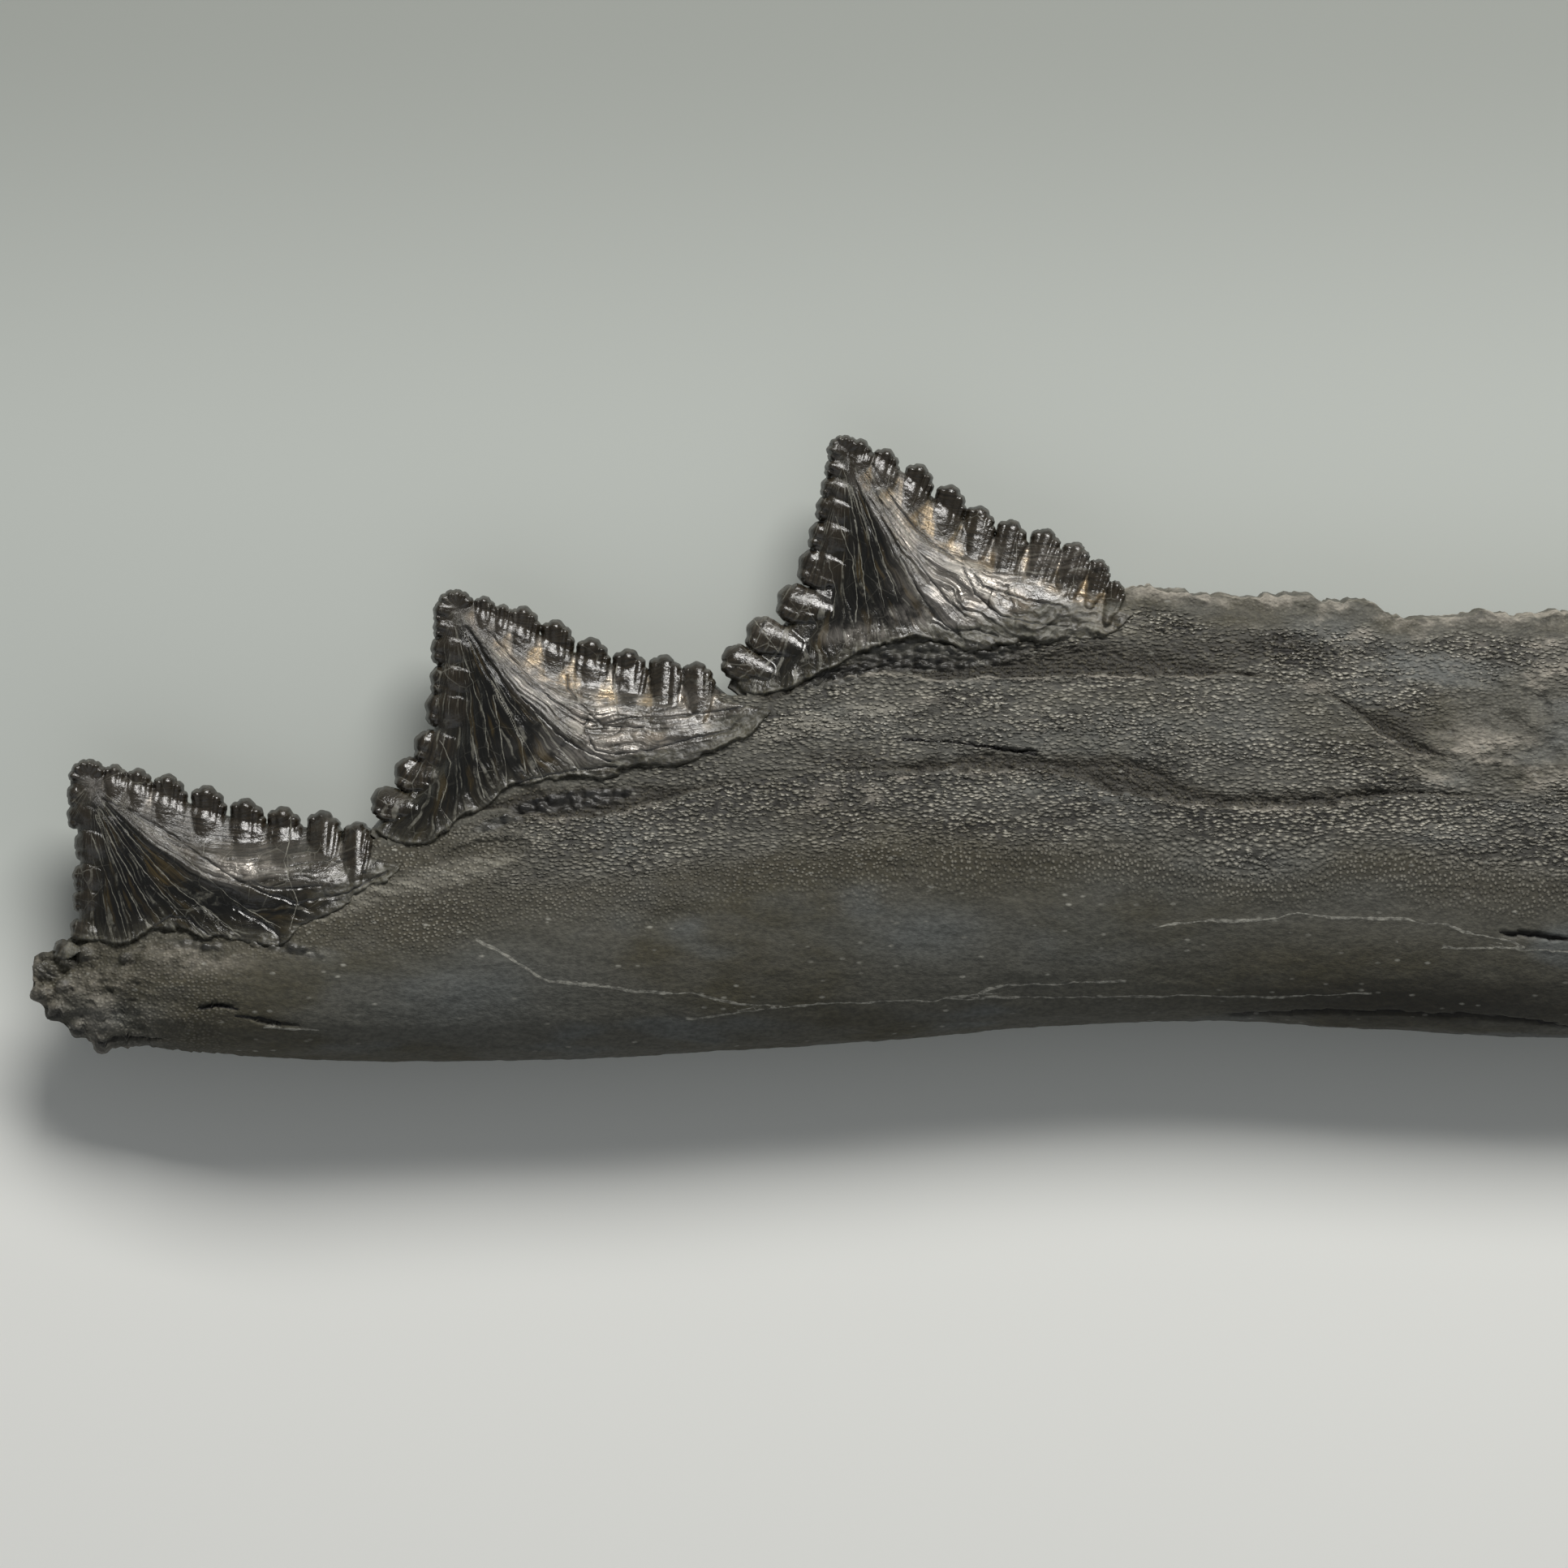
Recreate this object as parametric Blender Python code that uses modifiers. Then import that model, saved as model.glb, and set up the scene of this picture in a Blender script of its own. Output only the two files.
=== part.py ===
"""A fossil Edestus jaw: three saw-edged teeth whose long V-shaped roots are stacked one in the next.

The jaw lies on its side. X runs from the front tooth to the broken back end, Y from the keel to the
crowns, Z up through the thickness. The drawing below is in millimetres, with X counted from a little
ahead of the nose and Y from the lowest stretch of the keel; the finished pieces are in metres.
"""

import math

import bmesh
import bpy
import numpy as np

MM = 0.001

# Driving dimensions, in millimetres.
BREAK_X = 219.6          # where the roots are broken off at the back
BREAK_WAVE = 1.6         # how far the break wanders from a plane
MID_HALF = 10.0          # half thickness of the fullest stretch of bone
REST_HALF = 9.3          # half thickness on the side it lies on, pressed flat there
SUTURE_GAP = 0.55        # rock-filled suture between two roots, measured along Y
TROUGH_FRONT = 6.5       # depth of the front root's trough, where the middle root sits
TROUGH_MIDDLE = 6.0      # depth of the middle root's trough, where the rear root sits
EDGE_HALF = 1.15         # half thickness of a crown where its saw teeth start
JAW_CENTRE = (112.47, 38.75)   # middle of the jaw's outline, which becomes the origin

# Keel, sutures and broken top, each a line through (x, y).
KEEL = [(3.7, 10.6), (4.6, 8.1), (6.2, 5.8), (8.4, 3.7), (12.0, 2.0), (20.0, 1.4), (30.0, 0.6), (50.0, 0.0),
        (70.0, 0.3), (90.0, 1.6), (110.0, 2.9), (130.0, 4.6), (150.0, 5.2), (170.0, 4.2), (190.0, 3.2),
        (222.0, 3.9)]
FRONT_SUTURE = [(44.0, 27.2), (52.0, 27.2), (56.0, 28.8), (60.0, 30.3), (72.0, 30.5), (82.0, 32.3),
                (95.0, 35.1), (112.0, 35.9), (130.0, 36.3), (140.0, 34.7), (148.0, 32.5), (156.0, 32.1),
                (170.0, 33.2), (193.0, 31.6), (222.0, 28.9)]
REAR_SUTURE = [(88.0, 45.4), (95.0, 45.2), (101.0, 46.8), (107.0, 48.0), (118.0, 47.1), (137.0, 47.1),
               (145.0, 46.7), (157.0, 47.0), (163.0, 45.3), (169.0, 41.5), (175.0, 38.3), (184.0, 36.2),
               (193.0, 34.6), (222.0, 31.6)]
BROKEN_TOP = [(104.0, 56.0), (125.0, 57.0), (137.0, 57.4), (139.5, 58.5), (147.0, 57.7), (153.0, 57.3),
              (160.0, 57.5), (165.0, 56.4), (167.6, 57.0), (170.5, 55.2), (176.0, 54.6), (182.0, 55.3),
              (187.0, 54.9), (192.0, 55.3), (205.0, 54.8), (222.0, 52.6)]
# Top of the bone under the crowns, which the enamel stands on.
CROWN_FLOOR = [(3.7, 11.4), (8.0, 13.6), (14.0, 17.5), (30.0, 20.5), (44.0, 26.4), (52.0, 30.0), (62.0, 36.0),
               (78.0, 39.5), (90.0, 44.6), (100.0, 49.5), (116.0, 54.0), (137.0, 57.4)]

# Places along X where the roots are drawn, close together where their shape changes.
STATIONS = [4.8, 6.0, 8.0, 10.8, 14.6, 20.0, 26.0, 32.0, 38.0, 43.0, 48.0, 50.5, 53.5, 57.0, 61.0, 66.0, 72.0,
            78.0, 84.0, 89.0, 92.0, 94.5, 97.5, 101.0, 105.0, 110.0, 116.0, 122.0, 128.0, 133.0, 137.0]
STATION_STEP = 5.5

# Each crown: the notches of its saw edges from the foot to the tip, and how far each tooth stands out.
CROWNS = {
    "front_tooth": {
        "leading": [(5.6, 12.0), (7.9, 14.0), (10.2, 16.1), (10.1, 18.7), (10.3, 21.4), (10.4, 25.2),
                    (9.9, 29.0), (9.4, 32.0), (10.6, 35.3)],
        "trailing": [(44.6, 26.6), (42.2, 28.4), (37.7, 29.1), (33.0, 29.5), (28.4, 30.4), (23.8, 31.9),
                     (19.4, 33.7), (16.1, 35.1), (13.5, 35.9)],
        "leading_teeth": (1.7, 1.2, 0.9, 0.9, 1.0, 0.8, 0.8, 1.4),
        "trailing_teeth": (0.7, 2.0, 2.5, 2.8, 3.0, 2.8, 1.9, 1.5),
        "tip": (11.4, 37.0),
    },
    "middle_tooth": {
        "leading": [(45.9, 29.0), (47.3, 30.8), (49.7, 33.8), (52.0, 37.5), (53.7, 41.7), (54.1, 45.8),
                    (54.3, 49.2), (54.2, 52.4), (54.6, 55.4)],
        "trailing": [(89.6, 45.2), (87.6, 47.1), (84.0, 47.7), (79.8, 48.3), (75.5, 49.2), (71.3, 50.4),
                     (67.0, 52.6), (62.8, 54.7), (58.4, 56.6)],
        "leading_teeth": (1.4, 2.0, 1.9, 1.8, 1.5, 1.3, 1.2, 1.2),
        "trailing_teeth": (1.4, 2.0, 2.4, 2.5, 2.7, 3.0, 2.8, 1.9),
        "tip": (56.0, 58.2),
    },
    "rear_tooth": {
        "leading": [(90.4, 48.0), (93.3, 51.3), (97.2, 54.7), (100.0, 59.2), (100.8, 63.2), (101.4, 66.8),
                    (101.8, 69.8), (102.2, 72.4), (102.6, 74.6)],
        "trailing": [(137.6, 57.8), (134.2, 61.2), (130.8, 62.8), (127.1, 64.1), (122.9, 65.0), (119.2, 66.6),
                     (115.5, 69.3), (111.9, 72.4), (107.4, 75.4)],
        "leading_teeth": (2.2, 2.0, 1.9, 1.4, 1.3, 1.1, 1.0, 1.0),
        "trailing_teeth": (1.3, 2.0, 2.4, 2.3, 2.7, 3.0, 2.5, 2.0),
        "tip": (104.1, 77.5),
    },
}
LEADING_SLOPE = 0.25     # how fast a crown thickens inwards from its leading edge
TRAILING_SLOPE = 0.42    # the same from its trailing edge; the ridge is where the two meet
CROWN_HALF = 5.2         # half thickness at the ridge's foot
ROWS_PER_NOTCH = 4
NOTCH_LIP = 0.15         # the edge still rounds over by this much in a notch
SAW_LEAN = 0.30          # how far a saw tooth leans towards the tip, for its height
CROWN_ROOT = 6.0         # how deep the crown's foot is sunk in the bone

BONE_COLOUR = (0.075, 0.075, 0.07, 1.0)


def line_through(points):
    """A smooth line through the points, as a function of x."""
    xs, ys = np.array(points, float).T
    slopes = np.gradient(ys, xs)

    def height(x):
        i = int(np.clip(np.searchsorted(xs, x) - 1, 0, len(xs) - 2))
        step = xs[i + 1] - xs[i]
        t = min(max((x - xs[i]) / step, 0.0), 1.0)
        start = (1 + 2 * t) * (1 - t) ** 2 * ys[i] + t * (1 - t) ** 2 * step * slopes[i]
        end = t * t * (3 - 2 * t) * ys[i + 1] + t * t * (t - 1) * step * slopes[i + 1]
        return start + end

    return height


keel = line_through(KEEL)
front_suture = line_through(FRONT_SUTURE)
rear_suture = line_through(REAR_SUTURE)
broken_top = line_through(BROKEN_TOP)
crown_floor = line_through(CROWN_FLOOR)


def smooth(value, low, high):
    """0 below low, 1 above high, and an even S between them."""
    t = min(max((value - low) / (high - low), 0.0), 1.0)
    return t * t * (3 - 2 * t)


def bone_top(x):
    return crown_floor(x) if x < CROWN_FLOOR[-1][0] else broken_top(x)


def bone_half(x, y):
    """Half thickness of the bone: a full, rounded keel side that thins towards the crowns."""
    low, high = keel(x), bone_top(x)
    h = min(max((y - low) / (high - low), 0.0), 1.0)
    fullest = 0.44
    if h < fullest:
        share = math.sqrt(max(0.0, 1 - ((fullest - h) / fullest) ** 2.3))
    else:
        share = 1 - 0.48 * ((h - fullest) / (1 - fullest)) ** 1.9
    along = 0.88 * smooth(x, 0.0, 40.0) ** 0.5 + 0.12 * smooth(x, 40.0, 110.0)
    return MID_HALF * along * share


def break_x(y, z):
    """The broken back end, one rough surface across all three roots."""
    return BREAK_X + BREAK_WAVE * math.sin(0.31 * y + 0.5) * math.cos(0.23 * z)


def skin(name, rings):
    """One closed solid through a row of rings that all have the same number of points."""
    mesh = bmesh.new()
    loops = [[mesh.verts.new(point) for point in ring] for ring in rings]
    count = len(loops[0])
    for one, other in zip(loops, loops[1:]):
        for i in range(count):
            j = (i + 1) % count
            mesh.faces.new((one[i], one[j], other[j], other[i]))
    for loop in (loops[0], loops[-1]):
        bmesh.ops.triangle_fill(mesh, edges=[mesh.edges.get((loop[i], loop[(i + 1) % count]))
                                             for i in range(count)], use_beauty=True)
    bmesh.ops.recalc_face_normals(mesh, faces=mesh.faces)
    data = bpy.data.meshes.new(name)
    mesh.to_mesh(data)
    mesh.free()
    return bpy.data.objects.new(name, data)


def seat(x, y, z):
    """A point of the drawing in the finished frame, lying on its flattened side."""
    return ((x - JAW_CENTRE[0]) * MM, (y - JAW_CENTRE[1]) * MM, (max(z, -REST_HALF) + REST_HALF) * MM)


def stations(start):
    """Places along X from there back, the same ones for all three roots so that their sutures match."""
    last = STATIONS[-1]
    count = round((BREAK_X - last) / STATION_STEP)
    even = [last + (BREAK_X - last) * (i + 1) / count for i in range(count)]
    return [start] + [x for x in STATIONS + even if x > start + 0.01]


def at_break(x, y, z):
    return break_x(y, z) if x >= BREAK_X - 0.01 else x


def root_ring(x, low, high, keel_dip, trough_dip, flank_shares):
    """One ring of a root: down the near flank, round the keel or its V, up the far flank, through the trough."""
    near = [(low + (high - low) * share) for share in flank_shares]
    halves = [bone_half(x, y) for y in near]
    ring = [(x, y, half) for y, half in zip(near, halves)]
    if keel_dip is not None:
        ring += [(x, near[-1] - keel_dip * 0.5, halves[-1] * 0.5), (x, near[-1] - keel_dip, 0.0),
                 (x, near[-1] - keel_dip * 0.5, -halves[-1] * 0.5)]
    else:
        ring += [(x, low, 0.0)]
    ring += [(x, y, -half) for y, half in zip(reversed(near), reversed(halves))]
    ring += [(x, near[0] - trough_dip * 0.5, -halves[0] * 0.5), (x, near[0] - trough_dip, 0.0),
             (x, near[0] - trough_dip * 0.5, halves[0] * 0.5)]
    return [seat(at_break(*point), *point[1:]) for point in ring]


def front_root():
    shares = (1.0, 0.86, 0.70, 0.54, 0.40, 0.27, 0.16, 0.07, 0.02)
    rings = []
    for x in stations(3.75):
        under = smooth(x, 38.0, 48.0)
        top = (1 - under) * (crown_floor(x) + 0.6) + under * (front_suture(x) - SUTURE_GAP / 2)
        dip = TROUGH_FRONT * smooth(x, 48.0, 66.0) - 0.9 * (1 - under)
        rings.append(root_ring(x, keel(x), top, None, dip, shares))
    return skin("front_tooth", rings)


def middle_root():
    shares = (1.0, 0.66, 0.33, 0.0)
    rings = []
    for x in stations(48.0):
        low = front_suture(x) + SUTURE_GAP / 2
        under = smooth(x, 80.0, 92.0)
        top = (1 - under) * (crown_floor(x) + 0.4) + under * (rear_suture(x) - SUTURE_GAP / 2)
        dip = TROUGH_MIDDLE * smooth(x, 92.0, 108.0) - 0.8 * (1 - under)
        rings.append(root_ring(x, low, max(top, low + 1.0), TROUGH_FRONT * smooth(x, 48.0, 66.0), dip, shares))
    return skin("middle_tooth", rings)


def rear_root():
    shares = (1.0, 0.93, 0.82, 0.62, 0.40, 0.2, 0.0)
    rings = []
    for x in stations(92.0):
        low = rear_suture(x) + SUTURE_GAP / 2
        top = max(bone_top(x), low + 1.2)
        rings.append(root_ring(x, low, top, TROUGH_MIDDLE * smooth(x, 92.0, 108.0), -0.8, shares))
    return skin("rear_tooth", rings)


def edge_place(notches, where):
    """A point on a saw edge and the outward side of it; where counts notches from the foot."""
    xs, ys = np.array(notches, float).T
    index = np.arange(len(notches), dtype=float)
    x_line = line_through(list(zip(index, xs)))
    y_line = line_through(list(zip(index, ys)))
    ahead = (x_line(where + 0.05) - x_line(where - 0.05), y_line(where + 0.05) - y_line(where - 0.05))
    length = math.hypot(*ahead)
    return (x_line(where), y_line(where)), (ahead[0] / length, ahead[1] / length)


def saw(where, heights):
    """How far the saw edge stands out there: a round tooth between two sharp notches."""
    k = min(int(where), len(heights) - 1)
    share = where - k
    return NOTCH_LIP + heights[k] * (1 - abs(2 * share - 1) ** 2.8)


def crown_half(from_leading, from_trailing):
    """Half thickness of a crown, thin at both saw edges and ridged where the two slopes meet."""
    lead, trail = LEADING_SLOPE * from_leading, TRAILING_SLOPE * from_trailing
    return min(EDGE_HALF + min(lead, trail), CROWN_HALF)


def crown(name, shape, under):
    """The enamel blade: half of it is a grid drawn between the two saw edges, and Mirror makes the other.

    Its foot is sunk in its own root and stays clear of the suture under that root.
    """
    inner = (0.0, 0.09, 0.22, 0.40, 0.58, 0.74, 0.89, 1.0)
    rows = ROWS_PER_NOTCH * len(shape["leading_teeth"])
    columns = len(inner) + 4
    mesh = bmesh.new()
    bmesh.ops.create_grid(mesh, x_segments=columns - 1, y_segments=rows + 2, size=1.0)
    mesh.verts.ensure_lookup_table()
    tip_x, tip_y = shape["tip"]
    for row in range(rows + 3):
        sunk = max(0, 2 - row)
        where = max(row - 2, 0) / ROWS_PER_NOTCH
        (lx, ly), (ltx, lty) = edge_place(shape["leading"], where)
        (rx, ry), (rtx, rty) = edge_place(shape["trailing"], where)
        width = math.hypot(rx - lx, ry - ly)
        lead_out, trail_out = saw(where, shape["leading_teeth"]), saw(where, shape["trailing_teeth"])
        places = []
        for share, half in ((1.0, 0.0), (0.55, 0.8)):
            out = lead_out * share
            places.append((lx - lty * out + ltx * out * SAW_LEAN, ly + ltx * out + lty * out * SAW_LEAN,
                           EDGE_HALF * half * min(1.0, 0.45 + lead_out)))
        for share in inner:
            x, y = lx + (rx - lx) * share, ly + (ry - ly) * share
            places.append((x, y, crown_half(width * share * 0.85, width * (1 - share) * 0.62)))
        for share, half in ((0.55, 0.8), (1.0, 0.0)):
            out = trail_out * share
            places.append((rx + rty * out + rtx * out * SAW_LEAN, ry - rtx * out + rty * out * SAW_LEAN,
                           EDGE_HALF * half * min(1.0, 0.45 + trail_out)))
        for column, (x, y, half) in enumerate(places):
            if sunk:
                middle = 1 - abs(2 * column / (columns - 1) - 1)
                depth = CROWN_ROOT * 0.5 * (0.15 + 0.85 * middle ** 0.5)
                y -= sunk * min(depth, max((y - under(x) - 0.8) * 0.5, 0.15))
                half *= 0.0 if sunk == 2 else 0.8
            if row == rows + 2:
                x, y, half = tip_x + (column / (columns - 1) - 0.5) * 2.4, tip_y, 0.0
            mesh.verts[row * columns + column].co = seat(x, y, half)
    bmesh.ops.recalc_face_normals(mesh, faces=mesh.faces)
    data = bpy.data.meshes.new(name + "_crown")
    mesh.to_mesh(data)
    mesh.free()
    blade = bpy.data.objects.new(name + "_crown", data)
    helpers.objects.link(blade)
    plane = bpy.data.objects.new(name + "_mid_plane", None)
    plane.location = seat(0.0, 0.0, 0.0)
    helpers.objects.link(plane)
    both = blade.modifiers.new("two faces", "MIRROR")
    both.use_axis = (False, False, True)
    both.mirror_object = plane
    both.merge_threshold = 0.00002
    blade.hide_render = True
    blade.display_type = "WIRE"
    return blade


def fossil_material():
    """Black fossil bone, satin where the enamel is."""
    material = bpy.data.materials.new("fossil_tooth")
    material.use_nodes = True
    shader = material.node_tree.nodes["Principled BSDF"]
    shader.inputs["Base Color"].default_value = BONE_COLOUR
    shader.inputs["Roughness"].default_value = 0.55
    shader.inputs["Metallic"].default_value = 0.0
    return material


for leftover in list(bpy.data.objects):
    bpy.data.objects.remove(leftover)

jaw = bpy.data.collections.new("edestus_jaw")
helpers = bpy.data.collections.new("crown_blades")
bpy.context.scene.collection.children.link(jaw)
bpy.context.scene.collection.children.link(helpers)

fossil = fossil_material()
roots = ((front_root, keel), (middle_root, front_suture), (rear_root, rear_suture))
for (make_root, line_below), (tooth_name, crown_shape) in zip(roots, CROWNS.items()):
    tooth = make_root()
    tooth.data.materials.append(fossil)
    jaw.objects.link(tooth)
    join = tooth.modifiers.new("crown", "BOOLEAN")
    join.operation = "UNION"
    join.object = crown(tooth_name, crown_shape, line_below)
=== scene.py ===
import math
from types import SimpleNamespace

import bpy
import numpy as np
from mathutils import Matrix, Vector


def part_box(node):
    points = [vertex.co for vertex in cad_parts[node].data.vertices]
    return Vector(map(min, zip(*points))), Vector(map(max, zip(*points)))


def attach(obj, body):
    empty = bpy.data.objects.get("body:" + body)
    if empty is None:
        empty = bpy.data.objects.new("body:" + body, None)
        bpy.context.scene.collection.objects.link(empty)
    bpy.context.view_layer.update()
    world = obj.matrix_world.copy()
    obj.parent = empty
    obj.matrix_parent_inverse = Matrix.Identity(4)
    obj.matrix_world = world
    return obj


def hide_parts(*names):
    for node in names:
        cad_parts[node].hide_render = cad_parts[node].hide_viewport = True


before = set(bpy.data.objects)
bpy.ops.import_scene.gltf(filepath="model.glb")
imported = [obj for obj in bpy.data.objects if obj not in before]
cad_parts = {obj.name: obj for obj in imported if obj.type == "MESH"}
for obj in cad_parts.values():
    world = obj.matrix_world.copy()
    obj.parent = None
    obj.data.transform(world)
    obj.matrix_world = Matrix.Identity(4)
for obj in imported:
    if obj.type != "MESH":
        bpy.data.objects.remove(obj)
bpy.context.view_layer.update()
cad_low, cad_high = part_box("front_tooth")

# Root of the front tooth
# The long lower root that carries the whole jaw, mineralised bone with a rounded keel and a trough on top
# for the next root. Its flank is grained like rice along the top and worn smooth and matt lower down.

MM = 0.001
NOSE_X = 3.75
KEEL_Y = 0.0
MID_Z = 9.3
NEAR_HALF = 9.82
FAR_HALF = 9.1
BREAK_X = 219.4
# Where the bone is thickest, as a share of its height.
FULLEST = 0.44
# One photograph pixel is a tenth of a millimetre here, with x from the left edge and y up from pixel row 1310.
PIXEL = 0.1
BASE_ROW = 1310

KEEL = [(3.7, 10.6), (4.6, 8.3), (6.2, 6.0), (8.4, 3.9), (12.0, 2.3), (20.0, 1.6), (30.0, 0.85), (50.0, 0.25),
        (70.0, 0.55), (90.0, 1.6), (110.0, 2.9), (130.0, 4.6), (150.0, 5.2), (170.0, 4.2), (190.0, 3.2),
        (222.0, 3.9)]
CROWN_FLOOR = [(3.7, 11.4), (8.0, 13.6), (14.0, 17.5), (30.0, 20.5), (44.0, 26.4), (52.0, 30.0), (62.0, 36.0),
               (78.0, 39.5), (90.0, 44.6), (100.0, 49.5), (116.0, 54.0), (137.0, 57.4)]
BROKEN_TOP = [(104.0, 56.0), (125.0, 57.0), (137.0, 57.6), (139.5, 58.5), (143.0, 58.2), (147.0, 57.7),
              (153.0, 57.3), (160.0, 57.5), (165.0, 56.6), (167.6, 57.0), (170.5, 55.2), (176.0, 54.6),
              (182.0, 55.3), (187.0, 54.9), (192.0, 55.3), (205.0, 54.8), (222.0, 52.6)]
FRONT_SUTURE = [(44.0, 27.2), (52.0, 27.2), (56.0, 28.8), (60.0, 30.3), (72.0, 30.5), (82.0, 32.3),
                (95.0, 35.1), (112.0, 35.9), (130.0, 36.3), (140.0, 34.7), (148.0, 32.5), (156.0, 32.1),
                (170.0, 33.2), (193.0, 31.6), (222.0, 28.9)]
REAR_SUTURE = [(88.0, 45.4), (95.0, 45.2), (101.0, 46.8), (107.0, 48.0), (118.0, 47.1), (137.0, 47.1),
               (145.0, 46.7), (157.0, 47.0), (163.0, 45.3), (169.0, 41.5), (175.0, 38.3), (184.0, 36.2),
               (193.0, 34.6), (222.0, 31.6)]
# Where the enamel of each crown ends on the bone.
ENAMEL_FEET = {
    "front_tooth": [(3.0, 12.9), (6.0, 13.0), (8.0, 13.7), (10.0, 14.9), (17.0, 15.4), (19.5, 17.0), (25.5, 15.6),
                    (30.0, 15.2), (35.0, 15.0), (40.0, 18.0), (46.0, 21.5), (50.0, 24.0), (52.0, 27.0)],
    "middle_tooth": [(44.0, 31.0), (46.0, 29.3), (48.0, 27.6), (51.0, 26.9), (54.0, 27.9), (59.0, 31.2),
                     (64.0, 34.2), (68.0, 34.9), (73.0, 35.2), (80.0, 36.3), (88.0, 38.4), (93.0, 41.0),
                     (97.0, 45.0)],
    "rear_tooth": [(87.0, 49.0), (90.0, 47.3), (92.0, 45.9), (94.0, 45.6), (98.0, 46.6), (101.0, 47.6),
                   (106.0, 50.5), (110.0, 51.8), (114.5, 52.2), (119.0, 51.0), (124.0, 51.3),
                   (131.0, 52.2), (137.0, 53.2), (141.0, 57.0)],
}
TROUGH_FRONT = 6.5
TROUGH_MIDDLE = 6.0


def jaw_point(x, y, z):
    """Jaw millimetres to the frame's metres: x along from the nose, y up from the keel, z from the mid plane."""
    return np.stack([cad_low[0] + (x - NOSE_X) * MM, cad_low[1] + (y - KEEL_Y) * MM, (z + MID_Z) * MM], -1)


def from_photo(column, row):
    """A place read off the photograph, in jaw millimetres."""
    return column * PIXEL, (BASE_ROW - row) * PIXEL


def line_through(points):
    """A smooth line through the points, as a function of x."""
    xs, ys = np.array(points, float).T
    slopes = np.gradient(ys, xs)

    def height(x):
        i = np.clip(np.searchsorted(xs, x) - 1, 0, len(xs) - 2)
        step = xs[i + 1] - xs[i]
        t = np.clip((x - xs[i]) / step, 0, 1)
        start = (1 + 2 * t) * (1 - t) ** 2 * ys[i] + t * (1 - t) ** 2 * step * slopes[i]
        end = t * t * (3 - 2 * t) * ys[i + 1] + t * t * (t - 1) * step * slopes[i + 1]
        return start + end

    return height


def ease(value, low, high):
    """0 below low, 1 above high, and an even S between them."""
    t = np.clip((value - low) / (high - low), 0, 1)
    return t * t * (3 - 2 * t)


def scatter(i, j, seed):
    """A steady random number from 0 to 1 for each whole i, j."""
    n = (i.astype(np.int64) * 374761393 + j.astype(np.int64) * 668265263 + seed * 362437) & 0xFFFFFFFF
    n = ((n ^ (n >> 13)) * 1274126177) & 0xFFFFFFFF
    return ((n ^ (n >> 16)) & 0xFFFFFF) / 0xFFFFFF


def ripple(u, v, seed):
    """Smooth bumps about one unit across, from -1 to 1."""
    i, j = np.floor(u), np.floor(v)
    a, b = u - i, v - j
    a, b = a * a * a * (a * (a * 6 - 15) + 10), b * b * b * (b * (b * 6 - 15) + 10)
    low = scatter(i, j, seed) * (1 - a) + scatter(i + 1, j, seed) * a
    high = scatter(i, j + 1, seed) * (1 - a) + scatter(i + 1, j + 1, seed) * a
    return 2 * (low * (1 - b) + high * b) - 1


def rough(u, v, seed, octaves=4):
    """Layers of ripple, each half as large and half as strong as the one before."""
    total = 0
    for k in range(octaves):
        turn = 0.6 * k
        s, c = math.sin(turn), math.cos(turn)
        total = total + ripple((u * c - v * s) * 2 ** k, (u * s + v * c) * 2 ** k, seed + k) / 2 ** k
    return total * 0.6


def grains(u, v, seed):
    """Packed grains one unit apart: distance to the nearest grain's middle, to the next one's, and its number."""
    i, j = np.floor(u), np.floor(v)
    first = np.full(np.shape(u), 9.0)
    second = np.full(np.shape(u), 9.0)
    number = np.zeros(np.shape(u))
    for di in (-1, 0, 1):
        for dj in (-1, 0, 1):
            a, b = i + di, j + dj
            across = a + 0.12 + 0.76 * scatter(a, b, seed) - u
            away = np.hypot(across, b + 0.12 + 0.76 * scatter(a, b, seed + 7) - v)
            nearer = away < first
            second = np.where(nearer, first, np.minimum(second, away))
            number = np.where(nearer, scatter(a, b, seed + 13), number)
            first = np.minimum(first, away)
    return first, second, number


def spot(x, y, column, row, wide, tall, turn=0.0):
    """A soft oval patch round a place in the photograph; wide and tall are half sizes in millimetres."""
    cx, cy = from_photo(column, row)
    s, c = math.sin(math.radians(turn)), math.cos(math.radians(turn))
    along, across = (x - cx) * c + (y - cy) * s, (y - cy) * c - (x - cx) * s
    return np.exp(-((along / wide) ** 2 + (across / tall) ** 2) * 1.2)


def strongest(x, y, spots):
    """The strongest of some soft patches, each given as for spot, with its strength after that."""
    best = np.zeros(np.shape(x))
    for *place, strength in spots:
        best = np.maximum(best, strength * spot(x, y, *place))
    return best


keel = line_through(KEEL)
crown_floor = line_through(CROWN_FLOOR)
broken_top = line_through(BROKEN_TOP)
smooth_front_suture = line_through(FRONT_SUTURE)
smooth_rear_suture = line_through(REAR_SUTURE)


def front_suture(x):
    return smooth_front_suture(x) + 0.45 * ripple(x / 3.1, x * 0, 51) + 0.30 * ripple(x / 1.1, x * 0, 52)


def rear_suture(x):
    return smooth_rear_suture(x) + 0.45 * ripple(x / 2.7, x * 0, 53) + 0.30 * ripple(x / 0.9, x * 0, 54)


def round_height(x, y):
    """Height measured round the bone's surface, so that patterns aren't stretched under the keel."""
    low, high = keel(x), bone_top(x)
    full = low + FULLEST * (high - low)
    depth = full - low
    turn = np.arcsin(np.clip((full - y) / depth, 0, 1))
    return np.where(y > full, y, full - 0.5 * (depth + NEAR_HALF * np.sqrt(ease(x, 0.0, 40.0))) * turn)


def bone_top(x):
    return np.where(x < CROWN_FLOOR[-1][0], crown_floor(x), broken_top(x))


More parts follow.
